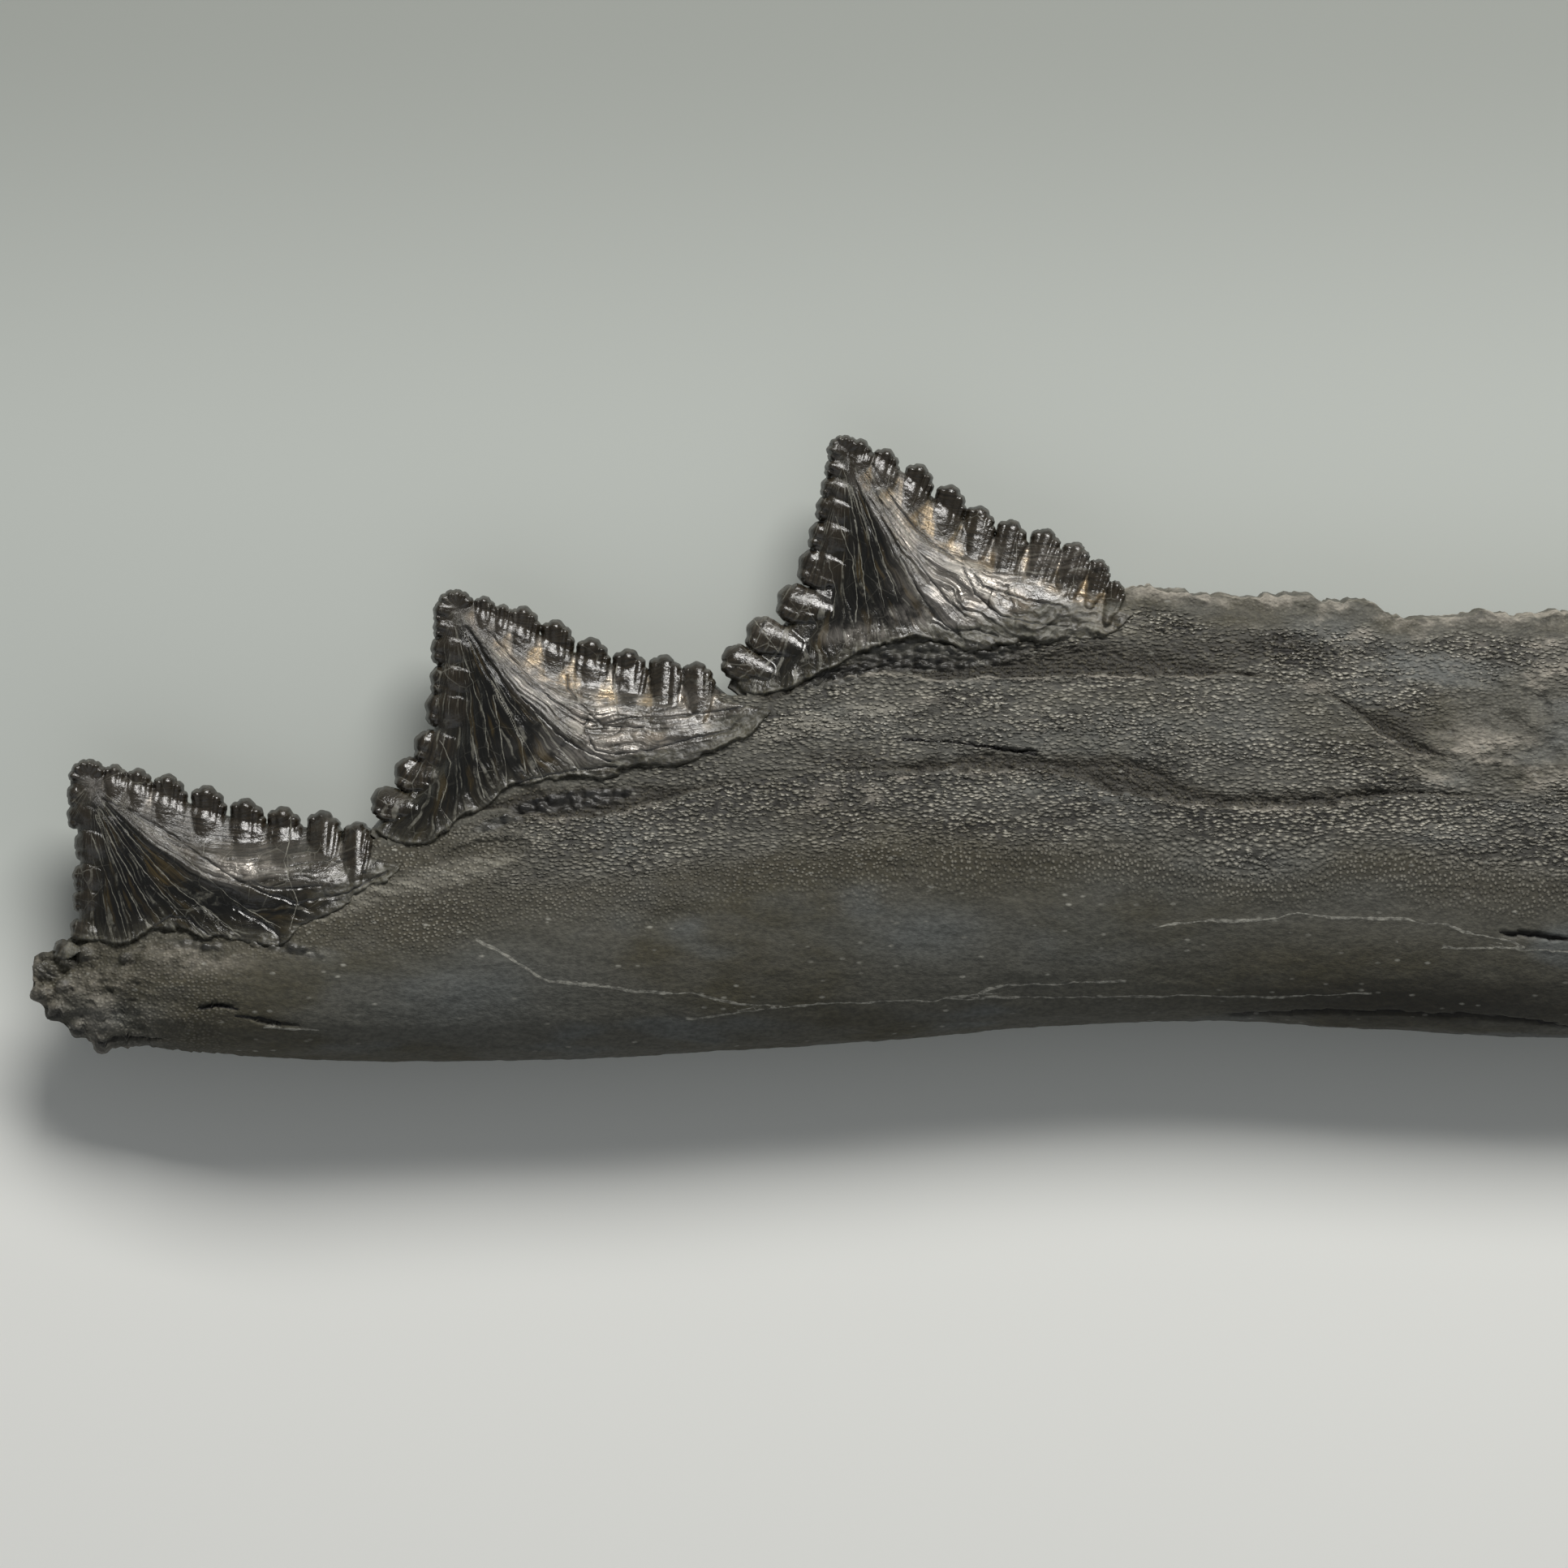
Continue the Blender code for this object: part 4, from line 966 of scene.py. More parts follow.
CROWNS = {
    "front": {
        "node": "front_tooth",
        "leading": [(6.8, 10.0), (7.2, 12.6), (8.2, 14.4), (9.8, 16.1), (9.7, 18.7), (9.8, 21.4), (9.9, 25.2),
                    (9.5, 29.0), (9.0, 32.0), (10.0, 35.3)],
        "trailing": [(10.6, 35.3), (13.5, 35.9), (16.1, 35.1), (19.4, 33.7), (23.8, 31.9), (28.4, 30.4),
                     (33.0, 29.5), (37.7, 29.1), (42.2, 28.4), (44.6, 26.8), (51.0, 25.2), (56.0, 25.0)],
        "leading_buds": [(6.6, 14.3, 2.6), (8.6, 16.9, 2.6), (8.9, 20.4, 3.0), (8.9, 23.3, 3.4),
                         (9.1, 27.3, 3.8), (8.2, 30.8, 3.2), (8.2, 33.4, 3.0)],
        "trailing_buds": [(14.4, 36.9, 3.2), (17.3, 36.4, 3.4), (21.0, 35.7, 4.3), (25.8, 34.3, 4.5),
                          (30.6, 32.7, 4.5), (35.2, 31.7, 4.5), (40.1, 31.2, 4.5), (44.4, 29.8, 3.9)],
        "tip": (10.9, 35.0, 2.35),
        "leading_in": (0.97, -0.22),
        "trailing_in": (-0.03, -1.0),
        "leading_lobes": WORN_LOBES,
        "fan_top": (11.5, 34.5),
        "cracks": [
            ((135, 980), (175, 1010), (215, 1040), (255, 1075), (290, 1105), (330, 1130), (350, 1140)),
            ((130, 990), (160, 1025), (195, 1065), (225, 1095), (262, 1120), (300, 1150)),
            ((125, 995), (150, 1030), (180, 1070), (205, 1100), (235, 1130), (258, 1155)),
            ((122, 1000), (145, 1045), (170, 1085), (192, 1120), (205, 1135)),
            ((120, 1005), (138, 1050), (160, 1095), (180, 1130), (193, 1142)),
            ((116, 1030), (135, 1080), (150, 1120), (160, 1150)),
            ((360, 1010), (358, 1040), (355, 1060), (365, 1090), (373, 1110), (365, 1140)),
        ],
        "splits": [
            ((130, 985), (165, 1000), (205, 1022), (245, 1050), (300, 1085), (350, 1095), (400, 1090)),
            ((300, 1085), (330, 1098), (372, 1112), (430, 1100), (480, 1075)),
            ((195, 1140), (215, 1128), (240, 1132), (262, 1150), (285, 1152)),
            ((296, 1118), (330, 1135), (350, 1150), (352, 1166)),
        ],
        "polish": 0.20,
        "fibre": 0.08,
        "dark_fan": (-4.0, 41.0),
        "faded": [(440, 1095, 6.0, 1.1, 12, 1), (250, 1155, 5.0, 0.8, 0, 1)],
        "silver": [(140, 965, 3.0, 1.6, 0, 1.0), (190, 985, 3.0, 1.5, 0, 0.7), (305, 1070, 4.5, 1.6, 0, 0.8)],
    },
    "middle": {
        "node": "middle_tooth",
        "leading": [(45.6, 24.5), (45.9, 29.0), (47.3, 30.8), (49.7, 33.8), (52.0, 37.5), (53.7, 41.7),
                    (54.1, 45.8), (54.3, 49.2), (54.2, 52.4), (54.6, 55.4)],
        "trailing": [(54.6, 55.4), (58.4, 56.6), (62.8, 54.7), (67.0, 52.6), (71.3, 50.4), (75.5, 49.2),
                     (79.8, 48.3), (84.0, 47.7), (87.6, 47.1), (89.6, 45.4), (96.0, 44.2), (101.0, 44.0)],
        "leading_buds": [(45.7, 32.5, 4.0), (48.5, 36.0, 4.2), (50.9, 39.3, 4.4), (52.3, 44.0, 4.6),
                         (52.9, 47.5, 4.2), (53.0, 51.2, 3.8), (53.3, 53.8, 2.8), (53.3, 55.7, 2.8)],
        "trailing_buds": [(59.9, 57.6, 2.9), (62.2, 56.6, 2.7), (64.8, 56.4, 3.9), (68.8, 54.7, 4.2),
                          (73.2, 52.5, 4.4), (77.8, 51.1, 4.6), (82.2, 50.4, 4.4), (86.2, 49.5, 4.2)],
        "tip": (56.1, 55.9, 2.35),
        "leading_in": (0.97, -0.2),
        "trailing_in": (-0.06, -1.0),
        "leading_lobes": LEADING_LOBES,
        "fan_top": (56.5, 56.0),
        "cracks": [
            ((567, 770), (585, 800), (600, 830), (622, 862), (640, 900), (658, 930), (672, 960)),
            ((575, 765), (610, 810), (640, 848), (665, 885), (690, 920), (715, 950)),
            ((582, 900), (590, 930), (592, 955), (600, 980)),
            ((590, 860), (598, 880), (605, 930)),
            ((610, 860), (618, 895), (625, 940), (630, 980)),
            ((600, 830), (625, 875), (645, 915), (650, 950)),
            ((545, 915), (558, 940), (552, 970), (545, 995), (560, 1012)),
            ((562, 775), (580, 830), (590, 860)),
            ((590, 780), (640, 835), (690, 880), (720, 905)),
            ((708, 845), (716, 870), (735, 885), (742, 900)),
            ((760, 820), (757, 850), (762, 880)),
            ((800, 890), (790, 880), (782, 876)),
        ],
        "splits": [
            ((577, 775), (610, 815), (650, 865), (690, 905), (720, 925), (752, 938)),
            ((600, 775), (640, 820), (680, 862), (715, 885), (745, 895), (790, 898)),
            ((725, 905), (735, 925), (760, 930), (800, 925), (850, 912), (900, 900)),
            ((700, 835), (702, 850), (716, 868), (742, 893)),
            ((735, 895), (780, 885), (830, 884), (880, 878), (915, 872)),
            ((640, 965), (680, 955), (720, 948), (760, 945)),
        ],
        "polish": 1.0,
        "fibre": 0.15,
        "dark_fan": (-12.0, 31.0),
        "faded": [(930, 888, 7.0, 1.4, 10, 1), (800, 935, 6.0, 0.8, 10, 1)],
        "silver": [(615, 765, 3.5, 1.6, 0, 1.2), (665, 800, 2.0, 1.2, 0, 1.0), (740, 858, 4.0, 1.6, 0, 1.1),
                   (850, 862, 6.0, 1.4, 0, 1.1), (740, 890, 5.0, 2.5, 0, 0.8), (760, 925, 8.0, 1.6, 0, 0.7)],
    },
    "rear": {
        "node": "rear_tooth",
        "leading": [(88.6, 44.0), (90.4, 48.0), (93.3, 51.3), (97.2, 54.7), (100.0, 59.2), (100.8, 63.2),
                    (101.4, 66.8), (101.8, 69.8), (102.2, 72.4), (102.6, 74.6)],
        "trailing": [(102.6, 74.6), (107.4, 75.4), (111.9, 72.4), (115.5, 69.3), (119.2, 66.6), (122.9, 65.0),
                     (127.1, 64.1), (130.8, 62.8), (134.2, 61.2), (136.6, 58.6), (138.5, 56.4), (146.0, 55.6)],
        "leading_buds": [(88.9, 50.2, 4.2), (91.9, 53.5, 4.6), (95.7, 57.5, 4.8), (98.3, 61.8, 4.6),
                         (99.6, 65.5, 4.2), (100.5, 68.8, 3.4), (101.1, 71.3, 2.8), (101.6, 73.6, 2.4),
                         (102.0, 75.5, 2.3)],
        "trailing_buds": [(106.5, 76.9, 3.2), (109.7, 75.7, 3.6), (113.8, 73.8, 4.0), (117.7, 71.2, 4.2),
                          (121.3, 68.6, 4.2), (125.2, 66.9, 4.2), (129.4, 65.8, 4.2), (133.0, 64.1, 3.9),
                          (135.7, 62.0, 2.9), (137.6, 59.3, 2.6)],
        "tip": (104.0, 75.2, 2.05),
        "leading_in": (0.93, -0.36),
        "trailing_in": (-0.28, -0.96),
        "leading_lobes": LEADING_LOBES,
        "fan_top": (104.0, 75.0),
        "cracks": [
            ((1040, 580), (1048, 615), (1055, 650), (1062, 700), (1066, 740), (1070, 760)),
            ((1055, 580), (1072, 640), (1090, 700), (1100, 725), (1105, 740)),
            ((1048, 600), (1066, 650), (1078, 700), (1088, 745)),
            ((1030, 640), (1050, 690), (1056, 740), (1054, 765)),
            ((1020, 690), (1030, 730), (1026, 760)),
            ((1150, 675), (1172, 688), (1195, 705), (1215, 722), (1235, 732), (1245, 728)),
            ((1070, 580), (1105, 640), (1125, 675), (1150, 705)),
            ((1065, 590), (1090, 635), (1110, 675), (1140, 720)),
            ((1255, 690), (1252, 715), (1246, 728), (1252, 750)),
            ((930, 765), (945, 785), (958, 803)),
        ],
        "splits": [
            ((1065, 580), (1085, 620), (1100, 650), (1120, 680), (1142, 712), (1162, 738), (1185, 760)),
            ((1150, 672), (1165, 682), (1195, 705), (1210, 725), (1235, 732), (1262, 742), (1300, 748)),
            ((1075, 575), (1105, 625), (1130, 655), (1158, 680)),
            ((1185, 700), (1200, 735), (1230, 760), (1270, 770), (1320, 775)),
            ((1110, 690), (1130, 730), (1150, 762), (1180, 785)),
            ((1150, 770), (1170, 780), (1200, 778), (1225, 785)),
        ],
        "polish": 1.0,
        "fibre": 0.15,
        "dark_fan": (-14.0, 22.0),
        "faded": [(1320, 768, 12.0, 2.3, 4, 1), (1210, 785, 9.0, 1.2, -3, 1)],
        "silver": [(1080, 590, 2.6, 1.6, 0, 0.9), (1240, 690, 5.0, 1.8, 0, 1.0), (1300, 690, 5.0, 2.0, 0, 1.3),
                   (1190, 720, 6.0, 4.0, 0, 0.9), (1160, 760, 6.0, 1.6, 0, 0.6), (1060, 785, 5.0, 1.2, 0, 0.5),
                   (945, 770, 2.0, 1.5, 0, 1.0)],
    },
}


def side_of(x, y, line):
    """Distance to a line of points, positive to the right of its direction of travel."""
    away = np.full(x.shape, 1e9)
    side = np.zeros(x.shape)
    for (ax, ay), (bx, by) in zip(line, line[1:]):
        dx, dy = bx - ax, by - ay
        t = np.clip(((x - ax) * dx + (y - ay) * dy) / (dx * dx + dy * dy), 0, 1)
        gap = np.hypot(x - ax - t * dx, y - ay - t * dy)
        turned = (x - ax) * dy - (y - ay) * dx
        nearer = gap < away - 1e-9
        side = np.where(nearer, np.sign(turned), side)
        away = np.where(nearer, gap, away)
    return side * away


def add_lobe(fields, head, inward, length, radius, height, rise, phase):
    """Adds a rounded lobe of a saw tooth: its crimped head on the rim and the rib that runs down from it."""
    x, y, depth, knob, rib = fields
    tail = head + inward * length
    room = radius * 1.3 + 0.3
    columns = slice(*np.searchsorted(x[0], (min(head[0], tail[0]) - room, max(head[0], tail[0]) + room)))
    rows = slice(*np.searchsorted(y[:, 0], (min(head[1], tail[1]) - room, max(head[1], tail[1]) + room)))
    px, py = x[rows, columns] - head[0], y[rows, columns] - head[1]
    along = px * inward[0] + py * inward[1]
    beside = px * inward[1] - py * inward[0]
    t = np.clip(along / length, 0, 1)
    away = np.hypot(along - t * length, beside)
    reach = radius * (1 + 0.10 * t - 0.35 * t * t) * (1 + 0.03 * np.cos(7 * np.arctan2(beside, -along) + phase))
    dome = np.sqrt(np.clip(1 - (away / reach) ** 2, 0, 1))
    depth[rows, columns] = np.maximum(depth[rows, columns], reach - away)
    knob[rows, columns] = np.maximum(knob[rows, columns], height * dome)
    rib[rows, columns] = np.maximum(rib[rows, columns], rise * dome * (1 - t) ** 1.1)


def add_saw(fields, tooth, seed):
    """All the saw teeth of a crown, and the beaded knob at its tip."""
    for edge, lobes in (("leading", tooth["leading_lobes"]), ("trailing", TRAILING_LOBES)):
        inward = np.array(tooth[edge + "_in"])
        inward = inward / np.linalg.norm(inward)
        downhill = np.array([inward[1], -inward[0]]) if edge == "leading" else np.array([-inward[1], inward[0]])
        for bud_x, bud_y, width in tooth[edge + "_buds"]:
            for k, (beside, drop, radius, length, full) in enumerate(lobes):
                chance = scatter(np.array(bud_x * 10), np.array(bud_y * 10 + k), seed)
                lean = 0.16 * (chance - 0.5)
                way = inward + downhill * (lean - 0.25 * beside)
                way = way / np.linalg.norm(way)
                size = radius * width * (0.94 + 0.14 * chance)
                top = np.array([bud_x, bud_y]) + downhill * beside * width - inward * drop * width
                add_lobe(fields, top + inward * size, way, length * width, size, EDGE_HALF * (0.35 + 0.65 * full),
                         0.75 * full, 6.3 * chance)
    tip = np.array(tooth["tip"][:2])
    radius = tooth["tip"][2]
    down = np.array([0.3, -0.95])
    add_lobe(fields, tip, down, 1.2 * radius, radius * 0.97, EDGE_HALF, 0.20, 0.4)
    for k, turn in enumerate(TIP_BEADS):
        out = np.array([math.cos(math.radians(turn)), math.sin(math.radians(turn))])
        size = radius * (0.30 + 0.05 * (k % 2))
        add_lobe(fields, tip + out * (radius + 0.20 - size), -out, 0.9 * radius, size, EDGE_HALF, 0.45, k)


def blade_thickness(x, y, foot, from_leading, from_trailing, depth):
    """Half thickness of the blade: it thickens from both edges to a ridge and stands on the bone."""
    k = RIDGE_ROUNDING
    inner = -k * np.log(np.exp(-np.maximum(from_leading, 0) / k) + np.exp(-np.maximum(from_trailing, 0) / k))
    inner = np.clip(inner + 0.69 * k, 0, 40)
    blade = np.minimum(BLADE_EDGE + BLADE_SLOPE * inner, BLADE_CAP)
    blade = blade - SADDLE_DEPTH * np.exp(-((from_trailing - 6.0) / 2.0) ** 2) * ease(from_leading, 8, 14)
    blade = np.minimum(blade, bone_half(x, crown_floor(x)) + ENAMEL + 0.25)
    lift = np.maximum(y - foot + FOOT_OVERLAP, 0)
    ramp = bone_half(x, foot - FOOT_OVERLAP) + ENAMEL - (0.15 + 0.50 * ease(inner, 8.0, 0.0)) * lift
    blade = (np.maximum(blade, 0) ** 6 + np.maximum(ramp, 0) ** 6) ** (1 / 6)
    blade = np.maximum(blade * ease(y - foot, -1.3, -0.7), bone_half(x, y) + ENAMEL)
    return blade * np.sqrt(1 - (1 - np.clip(depth / 1.4, 0, 1)) ** 2)


def enamel_face(tooth, at, near, seed):
    """The relief of one side of a crown in millimetres, and the masks that its colours follow."""
    x, y, reach, above_foot, whole, rib = at.x, at.y, at.reach, at.above_foot, at.whole, at.rib
    from_leading, from_trailing = at.from_leading, at.from_trailing
    flow = at.angle + 2.4 * rough(x / 6, y / 6, seed + 21)
    streaks = ripple(flow / 2.1, reach / 9, seed + 31) + 0.6 * ripple(flow / 0.9, reach / 6, seed + 32)
    folds = 1 - 2 * np.abs(ripple(flow / 1.9, reach / 12, seed + 38))
    fine = ripple(flow / 0.5, reach / 4, seed + 33)

    # A dark fan spreads from the tip, then comes a ridge, then the folded and flaking slope.
    dark_from, dark_to = tooth["dark_fan"]
    fan = ease(flow, dark_from - 3, dark_from + 2) * ease(flow, dark_to + 2, dark_to - 2)
    fan = fan * ease(reach, 1.5, 4.0) * ease(above_foot, -0.2, 0.8) * ease(from_leading, 1.0, 3.0)
    fan = fan * ease(from_trailing, 1.5, 3.0)
    grown_in = above_foot + 1.6 * rough(x / 4, y / 4, seed + 40, 3)
    fan = fan * (0.40 + 0.60 * ease(grown_in, 0.6, 4.0)) * (0.70 + 0.30 * ease(from_leading, 2.5, 6.0))
    ridge_band = ease(flow, dark_to - 1, dark_to + 2) * ease(flow, dark_to + 16, dark_to + 9)
    ridge_band = ridge_band * ease(from_trailing, 1.0, 3.5)
    flow_band = ease(from_trailing, 4.0, 8.0) * ease(flow, dark_to + 2, dark_to + 8)
    first, second, chip = grains(flow / 4.2, reach / 3.6 + 0.4 * ripple(flow / 3, reach / 3, seed), seed + 35)
    flaking = flow_band * ease(rough(x / 5, y / 5, seed + 36), -0.2, 0.25) * ease(above_foot, 0.5, 2.5)
    flakes = flaking * (np.round(chip * 3) / 3 - 0.5)
    chip_edge = flaking * ease(second - first, 0.10, 0.02)

    # The same cracks run through to the far side, a little out of step.
    shift = 0 if near else FAR_CRACK_SHIFT
    routes = [(PALE_VEIN, route) for route in tooth["cracks"]]
    routes += [(BLACK_CRACK, route) for route in tooth["splits"]]
    side, away, kind = cracks_near(x + shift, y + 0.5 * shift, routes)
    side = side + 0.09 * ripple(x / 0.7, y / 0.7, seed + 34)
    line = ease(np.abs(side), 0.2, 0.02) * ease(away, 0.4, 0.25)

    # The enamel thins out and crumbles along its foot, and has gone dull in some places above it.
    crumbled = ease(above_foot, 2.4, 0.2) * (0.35 + 0.65 * ease(flow, dark_to - 4, dark_to + 4))
    crumbled = np.maximum(crumbled, ease(above_foot, 0.9, 0.25))
    faded = ease(strongest(x, y, tooth["faded"]) + 0.2 * folds, 0.25, 0.6)
    crumbled = np.maximum(crumbled, 0.9 * faded)

    relief = 0.08 * streaks * (0.6 + ridge_band + 0.9 * flow_band) + 0.03 * fine * (1 - 0.7 * fan)
    relief += tooth["fibre"] * folds * (0.9 * ridge_band + 0.8 * flow_band) + 0.12 * ridge_band
    relief += FLAKE_RISE * flakes - CHIP_DEPTH * chip_edge - line * np.where(kind == PALE_VEIN, 0.04, SPLIT_DEPTH)
    relief += CRUMB_RISE * crumbled * rough(x / 1.5, y / 1.2, seed + 39)
    relief += 0.12 * rough(x / 3.5, y / 3.5, seed + 37) - FAN_DEPTH * fan
    relief = relief * ease(whole, 0.3, 1.6) * (1 - 0.8 * ease(rib, 0.03, 0.20))

    last_bud = tooth["trailing_buds"][-1][0]
    slope = ease(flow, dark_to - 2, dark_to + 8) * tooth["polish"]
    # The gaps between the saw's ribs get polish and a painted highlight.
    gap = slope * ease(from_trailing, 0.2, 1.2) * ease(from_trailing, 6.0, 3.5) * ease(rib, 0.2, 0.04)
    silver = strongest(x, y, tooth["silver"])
    slope = slope * (0.15 + 0.85 * ease(above_foot, 1.5, 7.0)) * ease(from_trailing, 0.5, 3.0)
    return relief, {
        "fan": fan,
        "silver": np.clip(silver, 0, 1.3) * (1 - faded),
        "slope": slope * (0.3 + 0.7 * ease(from_trailing, 12.0, 7.0)) * (1 - faded),
        "gap": gap * ease(x, last_bud + 2.5, last_bud + 0.5),
        "flow_turn": flow,
        "flow_reach": reach,
        "flow": np.clip(flow_band + ridge_band, 0, 1) * (0.35 + 0.65 * tooth["polish"]),
        "flake": np.clip(flaking * (0.35 + chip), 0, 1),
        "chip_edge": chip_edge,
        "foot": crumbled,
        "rib": ease(rib, 0.02, 0.26),
        "line_side": side,
        "line_away": away,
        "line_kind": kind,
    }


def crown_shape(tooth, seed):
    """The crown on a grid: depth inside its outline, near and far half thickness, and its masks."""
    leading, trailing = tooth["leading"], tooth["trailing"]
    foot_points = ENAMEL_FEET[tooth["node"]]
    tip_top = tooth["tip"][1] + tooth["tip"][2]
    xs = np.arange(min(p[0] for p in leading) - 3.0, trailing[-1][0] + 0.5, GRID)
    ys = np.arange(min(p[1] for p in foot_points) - 1.6, tip_top + 0.6, GRID)
    x, y = np.meshgrid(xs, ys)
    from_leading, from_trailing = side_of(x, y, leading), side_of(x, y, trailing)

    # Flow lines start at the tip and bend back along the foot; folds, streaks and cracks follow them.
    tip_x, tip_y = tooth["fan_top"]
    reach = np.hypot(x - tip_x, y - tip_y)
    angle = np.degrees(np.arctan2(x - tip_x, tip_y - y + 1e-6)) / (1 + 0.7 * (reach / 35) ** 2)
    foot = line_through(foot_points)(x)
    fingers = ripple(angle / 3.2, reach / 9, seed + 2) + 0.6 * ripple(angle / 1.4, reach / 5, seed + 5)
    ragged = 0.75 * rough(x / 3, y / 3, seed + 3) + 0.35 * (grains(x / 1.6, y / 1.2, seed + 4)[2] - 0.5)
    above_foot = y - foot + ragged + 0.75 * fingers * ease(angle, 5, 35)
    floor_depth = y - foot + 1.3
    depth = np.minimum(np.minimum(from_leading, from_trailing), floor_depth)

    knob = np.zeros(x.shape)
    saw_depth = np.full(x.shape, -9.0)
    rib = np.zeros(x.shape)
    add_saw((x, y, saw_depth, knob, rib), tooth, seed)
    whole = np.maximum(depth, np.minimum(saw_depth, floor_depth))

    bone_here = bone_half(x, y)
    plain = (blade_thickness(x, y, foot, from_leading, from_trailing, depth) ** 4 + knob ** 4) ** 0.25
    plain = np.where(bone_here > 0.3, np.maximum(plain, bone_here * ease(knob, 0, 0.3) + 0.6 * knob), plain)
    plain = plain + rib * ease(whole, 0.0, 0.5)
    skirt = np.maximum(ease(above_foot, -0.40, 0.25), ease(knob, 0.1, 0.5))
    at = SimpleNamespace(x=x, y=y, angle=angle, reach=reach, above_foot=above_foot, whole=whole, rib=rib,
                         from_leading=from_leading, from_trailing=from_trailing)
    halves, masks = [], []
    for near in (True, False):
        relief, face_masks = enamel_face(tooth, at, near, seed if near else seed + FAR_CROWN_SEED)
        half = plain + relief
        half = np.where(skirt < 1, half * skirt + (bone_here - SKIRT_DROP) * (1 - skirt), half)
        half = np.where(whole > 0, np.maximum(half, 0.02), 0)
        halves.append(half * (1 if near else FAR_THINNER))
        masks.append(face_masks)
    return x, y, whole, halves, masks


# Which corners and cut edges bound the piece of a grid square that lies inside, for each set of inner corners.
CORNER_CASES = {
    1: ("a", "ab", "da"), 2: ("b", "bc", "ab"), 3: ("a", "b", "bc", "da"), 4: ("c", "cd", "bc"),
    6: ("b", "c", "cd", "ab"), 7: ("a", "b", "c", "cd", "da"), 8: ("d", "da", "cd"), 9: ("a", "ab", "cd", "d"),
    11: ("a", "b", "bc", "cd", "d"), 12: ("c", "d", "da", "bc"), 13: ("a", "ab", "bc", "c", "d"),
    14: ("b", "c", "d", "da", "ab"), 15: ("a", "b", "c", "d"),
}
CORNER_PAIRS = {5: (1, 4), 10: (2, 8)}


def build_crown(name, tooth, seed, material):
    """Cuts the grid along the crown's outline and joins the near and far faces round it."""
    x, y, depth, halves, masks = crown_shape(tooth, seed)
    inside = depth > 0
    count = int(inside.sum())
    nodes = np.full(x.shape, -1)
    nodes[inside] = np.arange(count)
    points = [np.stack([x[inside], y[inside], halves[0][inside]], 1),
              np.stack([x[inside], y[inside], -halves[1][inside]], 1)]
    layers = {key: [face[key][inside] for face in masks] for key in masks[0]}
    total = 2 * count
    cuts = {}
    for key, first, second in (("h", np.s_[:, :-1], np.s_[:, 1:]), ("v", np.s_[:-1, :], np.s_[1:, :])):
        crossing = inside[first] != inside[second]
        share = np.clip(depth[first] / (depth[first] - depth[second] + 1e-12), 0.04, 0.96)[crossing]
        index = np.full(crossing.shape, -1)
        index[crossing] = total + np.arange(crossing.sum())
        total += int(crossing.sum())
        cuts[key] = index
        cx = x[first][crossing] * (1 - share) + x[second][crossing] * share
        cy = y[first][crossing] * (1 - share) + y[second][crossing] * share
        points.append(np.stack([cx, cy, cx * 0], 1))
        for layer, values in layers.items():
            field = masks[0][layer]
            values.append(field[first][crossing] * (1 - share) + field[second][crossing] * share)
    corner = {"a": nodes[:-1, :-1], "b": nodes[:-1, 1:], "c": nodes[1:, 1:], "d": nodes[1:, :-1],
              "ab": cuts["h"][:-1], "cd": cuts["h"][1:], "da": cuts["v"][:, :-1], "bc": cuts["v"][:, 1:]}
    case = inside[:-1, :-1] * 1 + inside[:-1, 1:] * 2 + inside[1:, 1:] * 4 + inside[1:, :-1] * 8
    polygons = []
    for number in range(1, 16):
        cells = case == number
        for part in CORNER_PAIRS.get(number, (number,)):
            near_face = np.stack([corner[key][cells] for key in CORNER_CASES[part]], 1)
            far_face = np.where(near_face < count, near_face + count, near_face)[:, ::-1]
            polygons += [near_face, far_face]
    polygons = [group for group in polygons if len(group)]
    layers = {key: np.concatenate(values) for key, values in layers.items()}
    return add_mesh(name, np.concatenate(points), polygons, layers, material)


ENAMEL_BLACK = colour(0.0035, 0.0035, 0.003)
ENAMEL_BODY = colour(0.021, 0.019, 0.015)
ENAMEL_OLIVE = colour(0.015, 0.012, 0.005)
ENAMEL_GREY = colour(0.074, 0.069, 0.063)
ENAMEL_UMBER = colour(0.018, 0.014, 0.009)
ENAMEL_BRONZE = colour(0.050, 0.035, 0.012)
PEWTER = colour(0.34, 0.315, 0.285)
GILT_AND_HIGHLIGHT = colour(0.42, 0.32, 0.20)
FLAKE_TAN = colour(0.15, 0.12, 0.085)
CRACK_PALE = colour(0.17, 0.165, 0.135)
STREAK_DARK, STREAK_LIGHT = colour(0.5, 0.5, 0.5), colour(1.5, 1.5, 1.5)
# Degrees across the flow from the tip, and millimetres along it.
HAIR_CELL = (0.75, 5.0)
BAND_CELL = (3.6, 9.0)
FAN_CELL = (4.4, 34.0)
ENAMEL_SHEEN = 0.65


